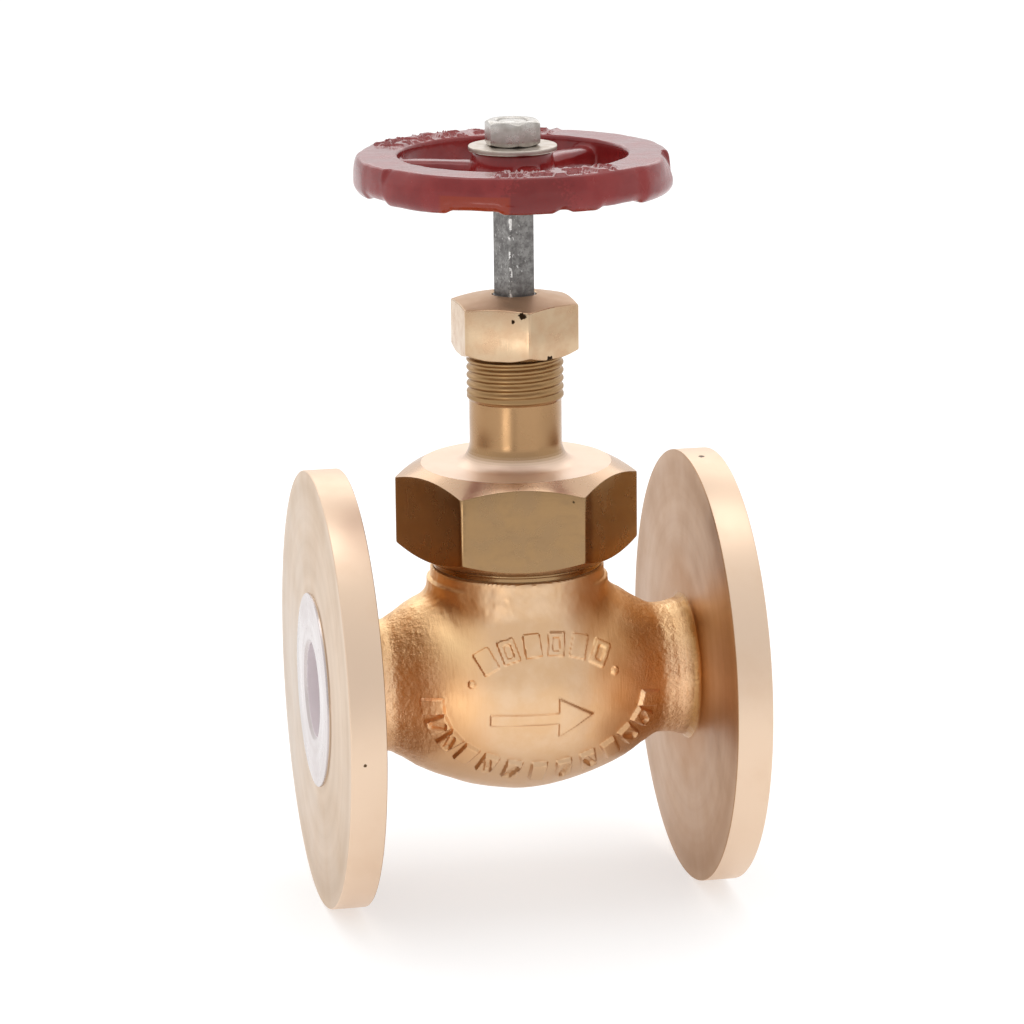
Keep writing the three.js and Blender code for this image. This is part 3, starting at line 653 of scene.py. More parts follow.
def packing_ring(number):
    """One turn of square braided cord: its strands cross in a shallow diamond pattern."""
    bottom, top = heights("packing_ring_" + str(number))
    angles = even_angles(240)
    section = rounded([
        (PACKING_INNER, bottom + 1.0), (PACKING_INNER, bottom, 0.6), (PACKING_OUTER, bottom, 0.6),
        (PACKING_OUTER, top, 0.6), (PACKING_INNER, top, 0.6), (PACKING_INNER, bottom + 1.2),
    ], steps=4)[:-1]
    rings = []
    for k, (radius, height) in enumerate(section):
        strand = np.cos(STRANDS * angles + k * math.pi / 2) * STRAND_HEIGHT
        outward = np.sign(radius - (PACKING_INNER + PACKING_OUTER) / 2)
        rings.append((radius - strand * outward, height))
    return turned("packing_cord_" + str(number), rings, angles, closed=True)


def gland_nut():
    """A hexagon nut with a low conical crown."""
    angles = polygon_angles(6, GLAND_NORMAL, 32)
    side = polygon_radius(angles, GLAND_APOTHEM, 6, GLAND_NORMAL, sharpness=90)

    def crown(radius):
        return GLAND_TOP - (radius - GLAND_CROWN_RADIUS) * math.tan(math.radians(GLAND_CROWN))

    shoulder = crown(side)
    low = GLAND_BOTTOM + np.clip(side - 15.3, 0, None) * 0.6
    rings = rounded([
        (GLAND_BORE, GLAND_INNER_TOP), (GLAND_BORE, GLAND_BOTTOM + 0.6), (13.6, GLAND_BOTTOM),
        (14.4, GLAND_BOTTOM),
    ])
    rings += [
        (side - 0.5, low), (side - 0.12, low + 0.14), (side, low + 0.5),
        (side, low + (shoulder - low) * 0.5), (side, shoulder - 0.5),
        (side - 0.06, shoulder - 0.22), (side - 0.24, shoulder), (side - 0.6, shoulder + 0.13),
        (side - 3, crown(side - 3)), (side * 0.6, crown(side * 0.6)),
    ]
    rings += rounded([
        (6.9, GLAND_TOP - 0.06), (6.2, GLAND_TOP), (5.75, GLAND_TOP - 0.5), (5.75, GLAND_INNER_TOP),
        (GLAND_BORE, GLAND_INNER_TOP),
    ])[:-1]
    return turned("gland_nut_turned", rings, angles, closed=True, sharp=35)


# --- spindle

def spindle():
    """The foot, the lifting thread, the round shank, the square and the threaded tip, one bar."""
    angles = polygon_angles(4, SQUARE_NORMAL, 36)
    square = polygon_radius(angles, SQUARE_APOTHEM, 4, SQUARE_NORMAL, sharpness=60)
    rings = rounded([
        (8.5, SPINDLE_BOTTOM), (9.3, SPINDLE_BOTTOM + 0.6), (9.3, SPINDLE_BOTTOM + 3),
        (6.6, SPINDLE_BOTTOM + 3), (6.6, 25.6), (6.8, 26.0),
    ])
    ends = (SPINDLE_THREAD_BOTTOM, SPINDLE_THREAD_TOP)
    rings += thread_rings(angles, *ends, 0.25, 7.0, 1.4, 3.0, *ends)
    rings += rounded([
        (6.6, 58.1), (SHANK_RADIUS, 58.8), (SHANK_RADIUS, 80), (SHANK_RADIUS, 95),
        (SHANK_RADIUS, SQUARE_BOTTOM, 0.15),
    ])
    rings += [(np.minimum(SHANK_RADIUS - 0.1, square), SQUARE_BOTTOM + 0.05)]
    rings += [(square, height) for height in np.linspace(SQUARE_BOTTOM + 0.3, TIP_BOTTOM - 0.2, 60)]
    rings += [(np.minimum(square, TIP_RADIUS), TIP_BOTTOM)]
    form = (TIP_RADIUS, 0.6, 1.25, TIP_BOTTOM + 0.2, SPINDLE_TOP - 0.4)
    rings += thread_rings(angles, TIP_BOTTOM + 0.2, SPINDLE_TOP - 0.6, 0.12, *form)
    for radius, drop in ((3.7, 0.45), (3.4, 0.2), (2.6, 0.05), (1.2, 0)):
        rings.append((radius, SPINDLE_TOP - drop))
    return turned("spindle_bar", rings, angles, sharp=35)


# --- handwheel, washer and nut

def angle_away(degrees, middle):
    return np.abs((degrees - middle + 180) % 360 - 180)


def rim_section():
    """The rim's cross-section: a flat top and a nearly upright wall."""
    return rounded([
        (RIM_MIDDLE, RIM_BOTTOM + 1.4, 1.0), (RIM_OUTER - 1.2, RIM_BOTTOM + 1.2, 0.8),
        (RIM_OUTER + 0.2, RIM_BOTTOM + 3.0, 1.2), (RIM_OUTER + 0.2, RIM_TOP - 5.5, 0.2),
        (RIM_OUTER + 0.1, RIM_TOP - 3.4, 0.2), (RIM_OUTER - 0.2, RIM_TOP - 1.4, 0.4),
        (RIM_OUTER - 0.8, RIM_TOP, 0.7), (RIM_MIDDLE, RIM_TOP), (RIM_INNER, RIM_TOP, 1.0),
        (RIM_INNER + 0.3, RIM_BOTTOM + 1.6, 0.9), (RIM_MIDDLE, RIM_BOTTOM + 1.4),
    ], steps=4)[:-1]


def rim():
    """The rim, with finger lobes that stand out and hang below, and two flats with one sharp end."""
    angles = even_angles(720)
    degrees = np.degrees(angles)
    lobe, swell = np.zeros(len(angles)), np.zeros(len(angles))
    for middle, half_width, stands_out in LOBES:
        inside = half_width - angle_away(degrees, middle)
        lobe = np.maximum(lobe, smooth_step(inside, -1.2, 2.2))
        swell = np.maximum(swell, stands_out * smooth_step(inside, -3.0, 3.0))
    rings = []
    for radius, height in rim_section():
        outward = np.clip((radius - 35) / (RIM_OUTER - 35), 0, 1)
        below = np.clip((RIM_TOP - 4 - height) / (RIM_TOP - 4 - RIM_BOTTOM), 0, 1)
        flat = np.zeros(len(angles))
        for start, length, depth, drop in FLATS:
            share = (degrees - start) * math.copysign(1, length) % 360 / abs(length)
            window = smooth_step(share, 0, 0.06) * smooth_step(-share, -1, -0.3)
            flat = np.maximum(flat, depth * window * np.clip((height - RIM_TOP) / drop + 1, 0, 1))
        hang = LOBE_DROP * lobe * below * (0.35 + 0.65 * outward)
        rings.append((radius + (swell - flat) * outward, height - hang))
    return turned("rim", rings, angles, closed=True)


def spoke(angle):
    """A spoke that widens into the hub and the rim."""
    stations = np.linspace(6, RIM_INNER + 4, 25)
    around = even_angles(28)
    middle = (stations - 20.5) / 14.5
    half_width = 3.4 + 1.6 * np.abs(middle) ** 3
    half_height = 2.9 + 0.7 * np.abs(middle) ** 4
    centre = SPOKE_HEIGHT + 0.4 * (1 - middle ** 2)
    across = np.outer(half_width, np.sign(np.cos(around)) * np.abs(np.cos(around)) ** 0.7).ravel()
    upward = np.outer(half_height, np.sign(np.sin(around)) * np.abs(np.sin(around)) ** 0.7)
    along = np.repeat(stations, len(around))
    turn = math.radians(angle)
    points = np.stack((
        along * math.cos(turn) - across * math.sin(turn),
        along * math.sin(turn) + across * math.cos(turn),
        (centre[:, None] + upward).ravel(),
    ), axis=-1)
    first = np.arange(len(around))
    faces = quads(len(stations), len(around))
    faces.append(first[::-1].tolist())
    faces.append(((len(stations) - 1) * len(around) + first).tolist())
    return new_object("spoke", points, faces)


def handwheel():
    """Hub, rim and spokes as one casting with soft corners, and the square hole through the hub."""
    wheel = turned("handwheel_casting", rounded([
        (6, WHEEL_BOTTOM), (9.4, WHEEL_BOTTOM, 1.0), (HUB_RADIUS - 0.3, WHEEL_BOTTOM + 4),
        (HUB_RADIUS, WHEEL_TOP - 3), (HUB_RADIUS - 0.6, WHEEL_TOP, 0.5), (5, WHEEL_TOP),
    ]), even_angles(160))
    combine(wheel, rim(), "UNION")
    for angle in SPOKE_ANGLES:
        combine(wheel, spoke(angle), "UNION")
    remesh = wheel.modifiers.new("remesh", "REMESH")
    remesh.mode = "VOXEL"
    remesh.voxel_size = 0.42 * MM
    soften = wheel.modifiers.new("soften", "SMOOTH")
    soften.factor = 0.5
    soften.iterations = 4
    applied(wheel)
    push_out(wheel, wheel_relief)
    angles = polygon_angles(4, SQUARE_NORMAL, 16)
    side = polygon_radius(angles, SQUARE_APOTHEM + 0.3, 4, SQUARE_NORMAL)
    combine(wheel, turned("hole", [(side, WHEEL_BOTTOM - 1), (side, WHEEL_TOP + 1)], angles), "DIFFERENCE")
    return shade(wheel, 60)


def wheel_relief(points, normals):
    """Height of the casting's lumps, and of patches of low, irregular relief on the rim's top."""
    lumps = 0.16 * noise(points, 9.0, 11) + 0.07 * noise(points, 4.0, 12) + 0.025 * noise(points, 1.6, 13)
    radius = np.hypot(points[:, 0], points[:, 1])
    angle = np.degrees(np.arctan2(points[:, 1], points[:, 0]))
    top = smooth_step(normals[:, 2], 0.5, 0.85) * smooth_step(points[:, 2], RIM_TOP - 1.0, RIM_TOP - 0.5)
    across = smooth_step(radius, RIM_INNER + 0.6, RIM_INNER + 1.4)
    across *= smooth_step(-radius, -RIM_OUTER + 1.2, -RIM_OUTER + 2)
    along = np.zeros(len(points))
    for middle, half_width in MARKED_ARCS:
        along = np.maximum(along, smooth_step(half_width - angle_away(angle, middle), -1, 1.5))
    unrolled = np.stack((angle * 0.6, radius * 0.5, np.zeros(len(points))), axis=-1)
    relief = smooth_step(0.24 - np.abs(noise(unrolled, 1.7, 21)), 0.0, 0.16)
    return lumps + RELIEF_HEIGHT * relief * top * across * along


def washer():
    bottom = WASHER_BOTTOM - 0.25
    outline = rounded([
        (WASHER_HOLE, bottom + 0.65), (WASHER_HOLE, bottom, 0.1), (WASHER_RADIUS, bottom, 0.2),
        (WASHER_RADIUS, WASHER_TOP, 0.3), (WASHER_HOLE, WASHER_TOP, 0.15),
        (WASHER_HOLE, bottom + 0.75),
    ])[:-1]
    return turned("wheel_washer_plate", outline, even_angles(160), closed=True, sharp=35)


def wheel_nut():
    angles = polygon_angles(6, NUT_NORMAL, 28)
    bottom = WASHER_TOP + 0.02
    rings = rounded([(4.1, WASHER_TOP + 1.0), (4.1, WASHER_TOP + 0.5), (4.6, bottom)])
    rings += hexagon_rings(angles, NUT_APOTHEM, NUT_NORMAL, bottom, NUT_TOP, NUT_FACE_RADIUS, edge=0.25)
    rings += rounded([(5.2, NUT_TOP), (4.5, NUT_TOP), (4.0, NUT_TOP - 0.6), (4.1, WASHER_TOP + 1.4)])
    return turned("wheel_nut_hex", rings, angles, closed=True, sharp=35)


# --- materials

def linear(color):
    """An sRGB colour such as "c48a52" as linear numbers."""
    values = [int(color[i:i + 2], 16) / 255 for i in (0, 2, 4)]
    return [v / 12.92 if v <= 0.04045 else ((v + 0.055) / 1.055) ** 2.4 for v in values] + [1.0]


class Nodes:
    """The node tree of a material or a world."""

    def __init__(self, owner):
        owner.use_nodes = True
        self.nodes, self.links = owner.node_tree.nodes, owner.node_tree.links

    def link(self, source, target):
        """Joins a socket to another, or gives it a number, a tuple of numbers or an sRGB colour."""
        if isinstance(source, str):
            target.default_value = linear(source)
        elif isinstance(source, (int, float, tuple)):
            target.default_value = source
        else:
            self.links.new(source, target)

    def add(self, kind, inputs, output=0, **settings):
        """An output of a new node, with inputs set or joined by name or number."""
        node = self.nodes.new("ShaderNode" + kind)
        for name, value in settings.items():
            setattr(node, name, value)
        for name, value in inputs.items():
            self.link(value, node.inputs[name])
        return node.outputs[output]

    def mix(self, share, first, second):
        return self.add("Mix", {0: share, 6: first, 7: second}, 2, data_type="RGBA")


class Shader(Nodes):
    """A material's nodes. Sizes and places are in millimetres of object space, x, y and z."""

    def __init__(self, name, metallic):
        self.material = bpy.data.materials.new(name)
        super().__init__(self.material)
        self.shader = self.nodes["Principled BSDF"]
        self.shader.inputs["Metallic"].default_value = metallic
        self.bumps = None
        self.color = None
        place = self.add("TexCoord", {}, "Object")
        self.place = self.add("VectorMath", {0: place, "Scale": 1 / MM}, operation="SCALE")
        self.x, self.y, self.z = [self.add("SeparateXYZ", {0: self.place}, k) for k in range(3)]

    def math(self, operation, *values):
        return self.add("Math", dict(enumerate(values)), operation=operation)

    def times(self, a, b):
        return self.math("MULTIPLY", a, b)

    def length(self, a, b):
        return self.math("SQRT", self.math("ADD", self.times(a, a), self.times(b, b)))

    def vector(self, x, y, z):
        return self.add("CombineXYZ", {0: x, 1: y, 2: z})

    def stretched(self, x, y, z):
        """The place times a number each way: small numbers draw a pattern out that way."""
        return self.add("VectorMath", {0: self.place, 1: (x, y, z)}, operation="MULTIPLY")

    def noise(self, size, detail=3.0, place=None, roughness=0.55):
        place = self.place if place is None else place
        inputs = {"Vector": place, "Scale": 1 / size, "Detail": detail, "Roughness": roughness}
        return self.add("TexNoise", inputs, "Fac")

    def cells(self, size):
        return self.add("TexVoronoi", {"Vector": self.place, "Scale": 1 / size}, "Distance")

    def spread(self, value, low, high, out_low=0.0, out_high=1.0):
        """A smooth step from out_low to out_high as the value goes from low to high."""
        inputs = {"Value": value, "From Min": low, "From Max": high, "To Min": out_low, "To Max": out_high}
        return self.add("MapRange", inputs, "Result", interpolation_type="SMOOTHSTEP")

    def level(self, low, high, out_low=0.0, out_high=1.0):
        """A smooth step over two heights from the pipe's axis."""
        return self.spread(self.z, AXIS_HEIGHT + low, AXIS_HEIGHT + high, out_low, out_high)

    def facing_up(self):
        return self.add("SeparateXYZ", {0: self.add("NewGeometry", {}, "True Normal")}, 2)

    def cover(self, share, color):
        """Covers a share of the colour so far with another one."""
        self.color = self.mix(share, self.color, color)

    def tones(self, value, low, high, first, second):
        """Starts the colour with two tones, shared out by a value that goes from low to high."""
        self.color = self.mix(self.spread(value, low, high), first, second)

    def bump(self, height, distance, strength=1.0):
        """Adds a height in millimetres times distance to the surface's bumps."""
        inputs = {"Distance": distance * MM, "Strength": strength, "Height": height}
        if self.bumps is not None:
            inputs["Normal"] = self.bumps
        self.bumps = self.add("Bump", inputs, "Normal")

    def nick(self, place, size, color, share=1.0):
        """Covers a small ragged spot, its place counted from the pipe's axis."""
        x, y, z = place
        ends = {0: self.place, 1: (x, y, z + AXIS_HEIGHT)}
        away = self.add("VectorMath", ends, "Value", operation="DISTANCE")
        ragged = self.math("MULTIPLY_ADD", self.noise(0.8, 2.0), size * 1.6, -size * 0.8)
        self.cover(self.spread(self.math("ADD", away, ragged), size * 1.1, size * 0.8, 0.0, share), color)

    def finish(self, roughness, **numbers):
        self.link(self.color, self.shader.inputs["Base Color"])
        self.link(roughness, self.shader.inputs["Roughness"])
        for name, value in numbers.items():
            self.shader.inputs[name.replace("_", " ")].default_value = value
        if self.bumps is not None:
            self.links.new(self.bumps, self.shader.inputs["Normal"])
        return self.material


def cast_bronze():
    """Wire-brushed cast bronze: golden brown, streaked round the pipe, grainy towards the necks, with
    painted highlight on the shoulders, necks and under the boss, and painted shade low down and where the
    necks meet the flanges.
    """
    s = Shader("cast_bronze", 1.0)
    streaks = s.noise(0.55, 4.0, s.stretched(1, 0.12, 0.12), 0.6)
    blotches = s.noise(7.0, 4.0)
    grain = s.noise(0.45, 3.0)
    sand = s.noise(1.0, 2.0)
    along = s.math("ABSOLUTE", s.x)
    outward = s.spread(along, 22, 31)
    rough = s.times(outward, s.spread(s.noise(9.0, 2.0), 0.3, 0.6, 0.45, 1.0))
    shoulder = s.spread(along, 9, 22)
    s.bump(streaks, 0.10, s.math("MULTIPLY_ADD", shoulder, 0.4, 0.06))
    s.bump(sand, 0.4, s.math("MULTIPLY_ADD", rough, 0.55, 0.03))
    s.bump(grain, 0.2, s.math("MULTIPLY_ADD", rough, 0.5, 0.05))
    painted_light_under_boss = s.times(s.level(5, 16), shoulder)
    lower_shoulder_shade = s.times(s.level(-1, -11, 0.0, 0.7), shoulder)
    neck_flange_shade = s.spread(along, FLANGE_BACK_X - 4.0, FLANGE_BACK_X - 0.8, 0.0, 0.85)
    s.tones(blotches, 0.35, 0.7, "e4bc91", "ebc9a4")
    # Painted highlight: the shoulders and the necks are made lighter than the middle of the globe.
    s.cover(s.times(shoulder, 0.9), "fbc78f")
    s.cover(s.times(outward, 0.7), "ffd6ae")
    s.cover(s.times(shoulder, s.spread(streaks, 0.45, 0.75, 0.0, 0.5)), "edb67f")
    s.cover(s.times(outward, s.spread(grain, 0.5, 0.75, 0.0, 0.5)), "d2a674")
    # Painted highlight: a paler band on the shoulders just under the boss.
    s.cover(s.times(painted_light_under_boss, 0.85), "ffd8a2")
    # Painted shade: the lower shoulders are darker.
    s.cover(lower_shoulder_shade, "cb9d71")
    # Painted shade: the necks darken where they meet the flanges.
    s.cover(neck_flange_shade, "a97a44")
    # Painted shade: the front and back get darker towards the bottom.
    s.cover(s.level(-9, -22, 0.0, 0.85), "cba884")
    return s.finish(s.spread(blotches, 0.3, 0.7, 0.36, 0.47))


def turned_flange(name, colors, roughness, neck_reflection=None, metallic=1.0, anisotropy=0.0):
    """A turned flange surface: pale bronze with fine concentric tool marks."""
    s = Shader(name, metallic)
    radius = s.length(s.y, s.math("SUBTRACT", s.z, AXIS_HEIGHT))
    rings = s.noise(0.32, 3.0, s.vector(radius, s.x, 0.0), 0.65)
    broad = s.noise(5.0, 2.0, s.vector(radius, 0.0, 0.0))
    stains = s.noise(16.0, 4.0)
    s.bump(rings, 0.02, 0.4)
    s.tones(broad, 0.35, 0.65, *colors[:2])
    s.cover(s.spread(stains, 0.5, 0.75, 0.0, 0.3), colors[2])
    # Painted reflection: the flange side turns darker brown towards the neck, standing for the body's
    # blurred reflection in it.
    if neck_reflection is not None:
        s.cover(s.spread(radius, 36, 20), neck_reflection)
    s.nick((-50.6, -57.2, -3.5), 0.45, "5a4632")
    s.nick((49.0, -3.0, 57.2), 0.9, "5a4632")
    if anisotropy:
        tangent = s.nodes.new("ShaderNodeTangent")
        tangent.direction_type = "RADIAL"
        tangent.axis = "X"
        s.links.new(tangent.outputs["Tangent"], s.shader.inputs["Tangent"])
        s.shader.inputs["Anisotropic"].default_value = anisotropy
    return s.finish(s.spread(stains, 0.3, 0.7, roughness - 0.04, roughness + 0.05))


def turned_bonnet():
    """The bonnet: matt bronze milled and turned faces, with a crown made lighter as painted highlight, a
    near-white painted sheen on its flat top and foot, and paler right-hand faces as painted light.
    """
    s = Shader("turned_bonnet", 1.0)
    rings = s.noise(0.35, 3.0, s.stretched(0.02, 0.02, 1), 0.6)
    milled = s.noise(0.5, 3.0, s.stretched(1, 1, 0.08), 0.6)
    stains = s.noise(7.0, 4.0)
    smears = s.noise(2.4, 3.0, s.stretched(0.5, 1, 1), 0.6)
    facing_up = s.facing_up()
    crown = s.times(s.spread(facing_up, 0.25, 0.8), s.level(68, 60))
    flat = s.spread(facing_up, 0.92, 0.99)
    foot = s.spread(s.length(s.x, s.y), TUBE_FOOT_RADIUS + 3, TUBE_FOOT_RADIUS + 1)
    dull_and_sheen = s.times(crown, s.math("MAXIMUM", flat, foot))
    threads = s.level(THREAD_BOTTOM - 0.5, THREAD_BOTTOM + 0.5)
    lit_side_paint = s.times(s.spread(s.x, 13.5, 15.5), s.level(59, 57))
    s.bump(rings, 0.02, 0.3)
    s.bump(milled, 0.012, 0.3)
    s.tones(stains, 0.35, 0.7, "a0805a", "9c7e5c")
    s.cover(s.spread(smears, 0.5, 0.75, 0.0, 0.4), "8f7354")
    # Painted light: the hexagon's right-hand faces are paler.
    s.cover(s.times(lit_side_paint, 0.8), "d6c096")
    s.cover(s.level(59, 64), "a9855f")
    s.cover(threads, "a3825a")
    # Painted highlight on the crown's upward faces, then a near-white painted sheen on its flat top and
    # round the tube's foot, where the finish is also rougher.
    s.cover(crown, "c9a88a")
    s.cover(dull_and_sheen, "e6cdb8")
    nicks = ((9.0, -28.9, 53.6), 0.35), ((10.2, -28.7, 53.8), 0.3), ((-8.0, -27.5, 46.0), 0.3)
    for place, size in (*nicks, ((3.5, -27.5, 36.5), 0.35)):
        s.nick(place, size, "4a3822")
    roughness = s.math("MULTIPLY_ADD", dull_and_sheen, 0.2, s.spread(stains, 0.3, 0.7, 0.22, 0.30))
    return s.finish(s.math("MULTIPLY_ADD", threads, 0.12, roughness))


def pale_nut():
    """The gland nut: paler bronze, polished, with a few casting pits."""
    s = Shader("pale_nut", 1.0)
    stains = s.noise(5.0, 4.0)
    upward = s.spread(s.facing_up(), 0.5, 0.9)
    s.bump(s.noise(0.4, 3.0, s.stretched(1, 1, 0)), 0.02, 0.3)
    s.tones(stains, 0.35, 0.7, "caaf8f", "c3a281")
    s.cover(upward, "c0a081")
    for place, size in ((-1.2, -16.2, 99.9), 1.0), ((-3.6, -15.4, 98.3), 0.6), ((6.3, -13.7, 87.8), 0.9):
        s.nick(place, size, "2a1c10")
    return s.finish(s.math("MULTIPLY_ADD", upward, 0.25, s.spread(stains, 0.3, 0.7, 0.18, 0.28)))


def stained_metal(name, size, colors, grain, grain_height, grain_strength, roughness):
    """A metal in two slow shades, with fine grain. grain holds the grain noise's settings."""
    s = Shader(name, 1.0)
    stains = s.noise(size, 4.0)
    s.bump(s.noise(grain[0], grain[1], s.stretched(*grain[2])), grain_height, grain_strength)
    s.tones(stains, 0.35, 0.7, *colors)
    return s.finish(s.spread(stains, 0.3, 0.7, *roughness))


def trim_brass():
    """Brass with tool marks round its axis."""
    grain = (0.4, 2.0, (0, 0, 1))
    return stained_metal("trim_brass", 3.0, ("d6b063", "c39a4e"), grain, 0.03, 0.3, (0.22, 0.34))


def zinc_plate():
    grain = (0.35, 3.0, (1, 1, 1))
    return stained_metal("zinc_plate", 2.5, ("c2bdb7", "aea9a1"), grain, 0.012, 0.3, (0.24, 0.36))


def cream_washer():
    grain = (0.5, 3.0, (1, 1, 1))
    return stained_metal("cream_washer", 2.5, ("c4bab0", "b6aa9c"), grain, 0.03, 0.4, (0.34, 0.46))


def grey_steel():
    """The spindle: dark grey rolled bar, mottled and scratched, with a painted highlight along its front
    corner.
    """
    s = Shader("grey_steel", 1.0)
    grain = s.noise(0.7, 4.0, None, 0.75)
    mottle = s.noise(2.2, 4.0, None, 0.65)
    leaning = s.vector(s.math("ADD", s.x, s.times(s.z, 0.35)), s.y, s.times(s.z, 0.3))
    scratches = s.noise(0.55, 2.0, leaning)
    # Painted highlight: a bright line along the square's corner that faces the front, broken up by noise.
    turn = math.radians(SQUARE_NORMAL - 45)
    toward_edge = s.math("ADD", s.times(s.x, math.cos(turn)), s.times(s.y, math.sin(turn)))
    edge = s.times(s.spread(toward_edge, 4.75, 5.0), s.spread(s.noise(1.3, 3.0), 0.52, 0.62))
    s.bump(grain, 0.12, 0.5)
    s.tones(mottle, 0.35, 0.65, "6d6a68", "918f8c")
    s.cover(s.spread(grain, 0.5, 0.66, 0.0, 0.7), "5a5856")
    s.cover(s.spread(scratches, 0.66, 0.72, 0.0, 0.9), "d2d0cd")
    s.cover(edge, "eceae6")
    return s.finish(s.spread(grain, 0.3, 0.7, 0.36, 0.5))


def red_enamel():
    """Thick glossy enamel, pooled a little unevenly, with a darker red patch and an orange patch low on the
    front of the rim.
    """
    s = Shader("red_enamel", 0.0)
    pools = s.noise(8.0, 3.0)
    s.bump(s.noise(1.6, 2.0), 0.05, 0.4)
    s.tones(pools, 0.3, 0.7, "721a1a", "822422")
    s.cover(s.spread(s.noise(0.7, 2.0), 0.64, 0.76, 0.0, 0.15), "561414")
    # A darker red patch and an orange patch low on the front of the rim.
    s.nick((-2.0, -42.0, 132.5), 9.0, "641410", 0.6)
    beside = s.spread(s.math("ABSOLUTE", s.math("ADD", s.x, 17.0)), 8.6, 7.6)
    orange_low_patch = s.times(s.times(beside, s.level(134.9, 134.3)), s.spread(s.y, -25.0, -28.0))
    s.cover(orange_low_patch, "86280a")
    s.nick((-34.4, -20.3, 138.9), 0.8, "240808")
    roughness = s.spread(pools, 0.3, 0.7, 0.2, 0.28)
    coat = {"Coat_Weight": 0.25, "Coat_Roughness": 0.06}
    return s.finish(roughness, Specular_Tint=linear("ffd8d8"), **coat)


def seal_rubber():
    s = Shader("seal_rubber", 0.0)
    grain = s.noise(0.6, 3.0)
    s.bump(grain, 0.05, 0.4)
    s.tones(grain, 0.3, 0.7, "1b1b1a", "2a2a28")
    return s.finish(s.spread(grain, 0.3, 0.7, 0.6, 0.75))


def packing_braid():
    """Greased graphite cord."""
    s = Shader("packing_braid", 0.0)
    strands = s.cells(0.7)
    s.bump(strands, 0.3, 0.7)
    s.tones(strands, 0.1, 0.6, "3c3c3e", "232324")
    return s.finish(s.spread(strands, 0.1, 0.6, 0.4, 0.6))


def gasket_fibre():
    s = Shader("gasket_fibre", 0.0)
    fibres = s.noise(0.5, 4.0, None, 0.7)
    s.bump(fibres, 0.1, 0.5)
    s.tones(fibres, 0.3, 0.7, "8a6238", "a2774a")
    return s.finish(s.spread(fibres, 0.3, 0.7, 0.7, 0.9))


def paint_body(obj):
    """Cast surface all over; turned rims and flange sides, polished joint faces, and bores in a pale
    non-metal grey, painted light standing in for the brightness inside the bronze bores.
    """
    obj.data.materials.clear()
    for material in (
        cast_bronze(),
        turned_flange("turned_rim", ("dfc2a6", "e5cbb2", "d9b99b"), 0.40),
        turned_flange("turned_side", ("ac8561", "b48f6d", "a07a55"), 0.40, neck_reflection="a5733c"),
        turned_flange("turned_face", ("c2a88c", "ccb399", "b89d80"), 0.32, anisotropy=0.6),
        turned_flange("joint_face", ("c6bcba", "d2cac9", "bcb0ae"), 0.26, anisotropy=0.4),
        # Painted light: the bores get a pale non-metal colour so they look bright, where bronze bores would
        # be dark.
        turned_flange("bore", ("e6dcdf", "ede4e6", "dccfd2"), 0.5, metallic=0.0),
    ):
        obj.data.materials.append(material)
    cast, rim_turned, side, face, joint_face, bore = range(6)
    count = len(obj.data.polygons)
    centres, normals = np.zeros(count * 3), np.zeros(count * 3)
    obj.data.polygons.foreach_get("center", centres)
    obj.data.polygons.foreach_get("normal", normals)
    centres, normals = from_frame(centres.reshape(-1, 3)), normals.reshape(-1, 3)
    out, radius = np.abs(centres[:, 0]), np.hypot(centres[:, 1], centres[:, 2])
    facing = normals[:, 0] * np.sign(centres[:, 0])
    on_flange = out > FLANGE_BACK_X - 0.2
    index = np.full(count, cast)
    index[on_flange & (radius > FLANGE_RADIUS - 1.2)] = rim_turned
    index[on_flange & (radius > NECK_END_RADIUS + 0.8) & (facing < -0.5)] = side
    index[(out > FLANGE_FACE_X - 0.1) & ((facing > 0.8) | (radius < RAISED_RADIUS + 0.3))] = face
    index[(out > FLANGE_FACE_X + 0.2) & (radius < RAISED_RADIUS + 0.1)] = joint_face
    index[(radius < PORT_RADIUS + 0.1) & (out > 31)] = bore
    obj.data.polygons.foreach_set("material_index", index)
    obj.data.update()


def paint(obj, material):
    obj.data.materials.clear()
    obj.data.materials.append(material)


# --- assembly

def add(obj, body, node):
    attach(obj, body)
    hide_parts(node)


def add_painted(obj, material, body, node):
    paint(obj, material)
    add(obj, body, node)


def add_packing():
    """The packing rings, squashed together from the top as the follower goes down."""
    packing = packing_braid()
    for number in range(1, PACKING_TURNS + 1):
        ring = packing_ring(number)
        add_painted(ring, packing, "valve_group", "packing_ring_" + str(number))
        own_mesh(ring)


def assemble():
    body = body_casting()
    paint_body(body)
    add(body, "valve_group", "body_casting")
    add_painted(bonnet(), turned_bonnet(), "valve_group", "bonnet")
    add_painted(gland_nut(), pale_nut(), "gland_nut_group", "gland_nut")
    bar = spindle()
    add_painted(bar, grey_steel(), "spindle_group", "spindle")
    bar.data.materials.append(zinc_plate())
    for face in bar.data.polygons:
        face.material_index = int(face.center.z / MM - AXIS_HEIGHT > TIP_BOTTOM + 0.1)
    add_painted(handwheel(), red_enamel(), "spindle_group", "handwheel")
    add_painted(washer(), cream_washer(), "spindle_group", "wheel_washer")
    add_painted(wheel_nut(), zinc_plate(), "spindle_group", "wheel_nut")
    brass = trim_brass()
    for node in ("seat_ring", "disc_holder", "seal_washer", "seal_nut", "disc_swivel_nut",
                 "packing_base_washer", "gland_follower"):
        paint(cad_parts[node], brass)
    paint(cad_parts["disc_seal"], seal_rubber())
    add_packing()
    add_painted(gasket(), gasket_fibre(), "valve_group", "bonnet_gasket")


# --- floor, lights and camera, in metres

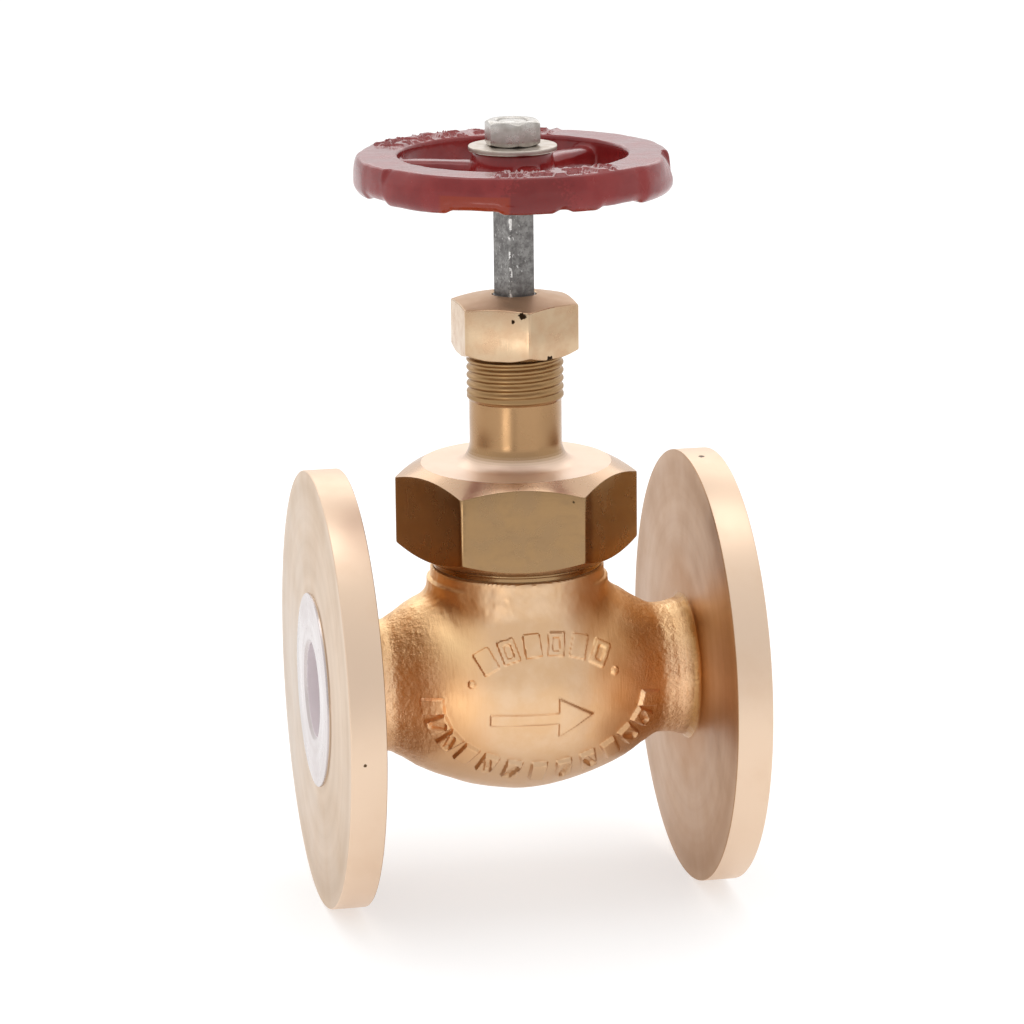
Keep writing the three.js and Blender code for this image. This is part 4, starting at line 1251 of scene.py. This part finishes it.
def staged_sheet(name, corners, shader, glow):
    """A flat matt sheet that glows evenly and isn't part of the valve."""
    obj = new_object(name, from_frame(corners), [(0, 1, 2, 3)])
    white = (1, 1, 1, 1)
    paint(obj, shader.finish(0.9, Specular_IOR_Level=0.0, Emission_Color=white, Emission_Strength=glow))
    return obj


def floor():
    size = 3.0
    s = Shader("floor_paper", 0.0)
    s.color = s.mix(s.noise(1.5, 2.0), "c8c8c8", "cecece")
    staged_sheet("floor", [(-size, -size, 0), (size, -size, 0), (size, size, 0), (-size, size, 0)], s, 0.5)


def card(name, place, span, height, color, glow):
    """An upright card beside the set that the camera doesn't see. It only shows in reflections."""
    x, y, z = place
    across, along = span[0] / 2, span[1] / 2
    corners = [(x - across, y - along, z), (x + across, y + along, z)]
    corners += [(cx, cy, z + height) for cx, cy, _ in corners[::-1]]
    s = Shader(name, 0.0)
    s.color = color
    obj = staged_sheet(name, corners, s, glow)
    obj.visible_camera = False
    obj.visible_diffuse = False
    obj.visible_shadow = False


def area_light(name, place, target, size, power):
    light = bpy.data.lights.new(name, "AREA")
    light.shape = "RECTANGLE"
    light.size, light.size_y = size
    light.energy = power
    obj = placed(name, light)
    obj.location = place
    obj.rotation_euler = (Vector(target) - Vector(place)).to_track_quat("-Z", "Y").to_euler()


def studio_world():
    """A white room, a little darker low down and towards the camera's side."""
    world = bpy.data.worlds.new("studio")
    bpy.context.scene.world = world
    room = Nodes(world)
    ends = {0: room.add("TexCoord", {}, "Generated"), 1: (0.0, 0.9, 0.45)}
    toward = room.add("VectorMath", ends, "Value", operation="DOT_PRODUCT")
    share = room.add("MapRange", {"Value": toward, "From Min": -0.7, "From Max": 0.24}, "Result")
    color = room.mix(share, (0.80, 0.80, 0.82, 1), (1, 1, 1, 1))
    room.link(color, room.nodes["Background"].inputs["Color"])


def lights():
    studio_world()
    area_light("top_softbox", (0.0, 0.05, 0.95), (0, 0, 0.06), (1.0, 0.34), 1.4)
    area_light("back_softbox", (0.1, 0.95, 0.72), (0, 0, 0.1), (1.7, 0.5), 2.6)
    card("right_flag", (0.5, -0.15, 0.0), (0.0, 0.75), 0.55, "e8e8e8", 0.0)
    card("left_strip", (-0.23, -0.335, 0.0), (0.09, -0.063), 0.075, "ffffff", 2.6)
    card("front_gap", (-0.125, -0.43, 0.0), (0.06, -0.012), 0.075, "3a3a3a", 0.0)


def camera():
    """A view from a little left of the front and a little above."""
    azimuth, elevation, roll, distance = -11.41, 14.08, -0.63, 1.0993
    target = (-0.0012, 0, 0.0446 + AXIS_HEIGHT * MM)
    data = bpy.data.cameras.new("camera")
    data.lens, data.sensor_width = 148.07, 36.0
    obj = placed("camera", data)
    obj.matrix_world = Matrix.Translation(target)
    for angle, axis in ((azimuth, "Z"), (90 - elevation, "X"), (roll, "Z")):
        obj.matrix_world = obj.matrix_world @ Matrix.Rotation(math.radians(angle), 4, axis)
    obj.matrix_world = obj.matrix_world @ Matrix.Translation((0, 0, distance))
    bpy.context.scene.camera = obj


camera()
assemble()
floor()
lights()
bpy.context.scene.view_settings.view_transform = "Standard"
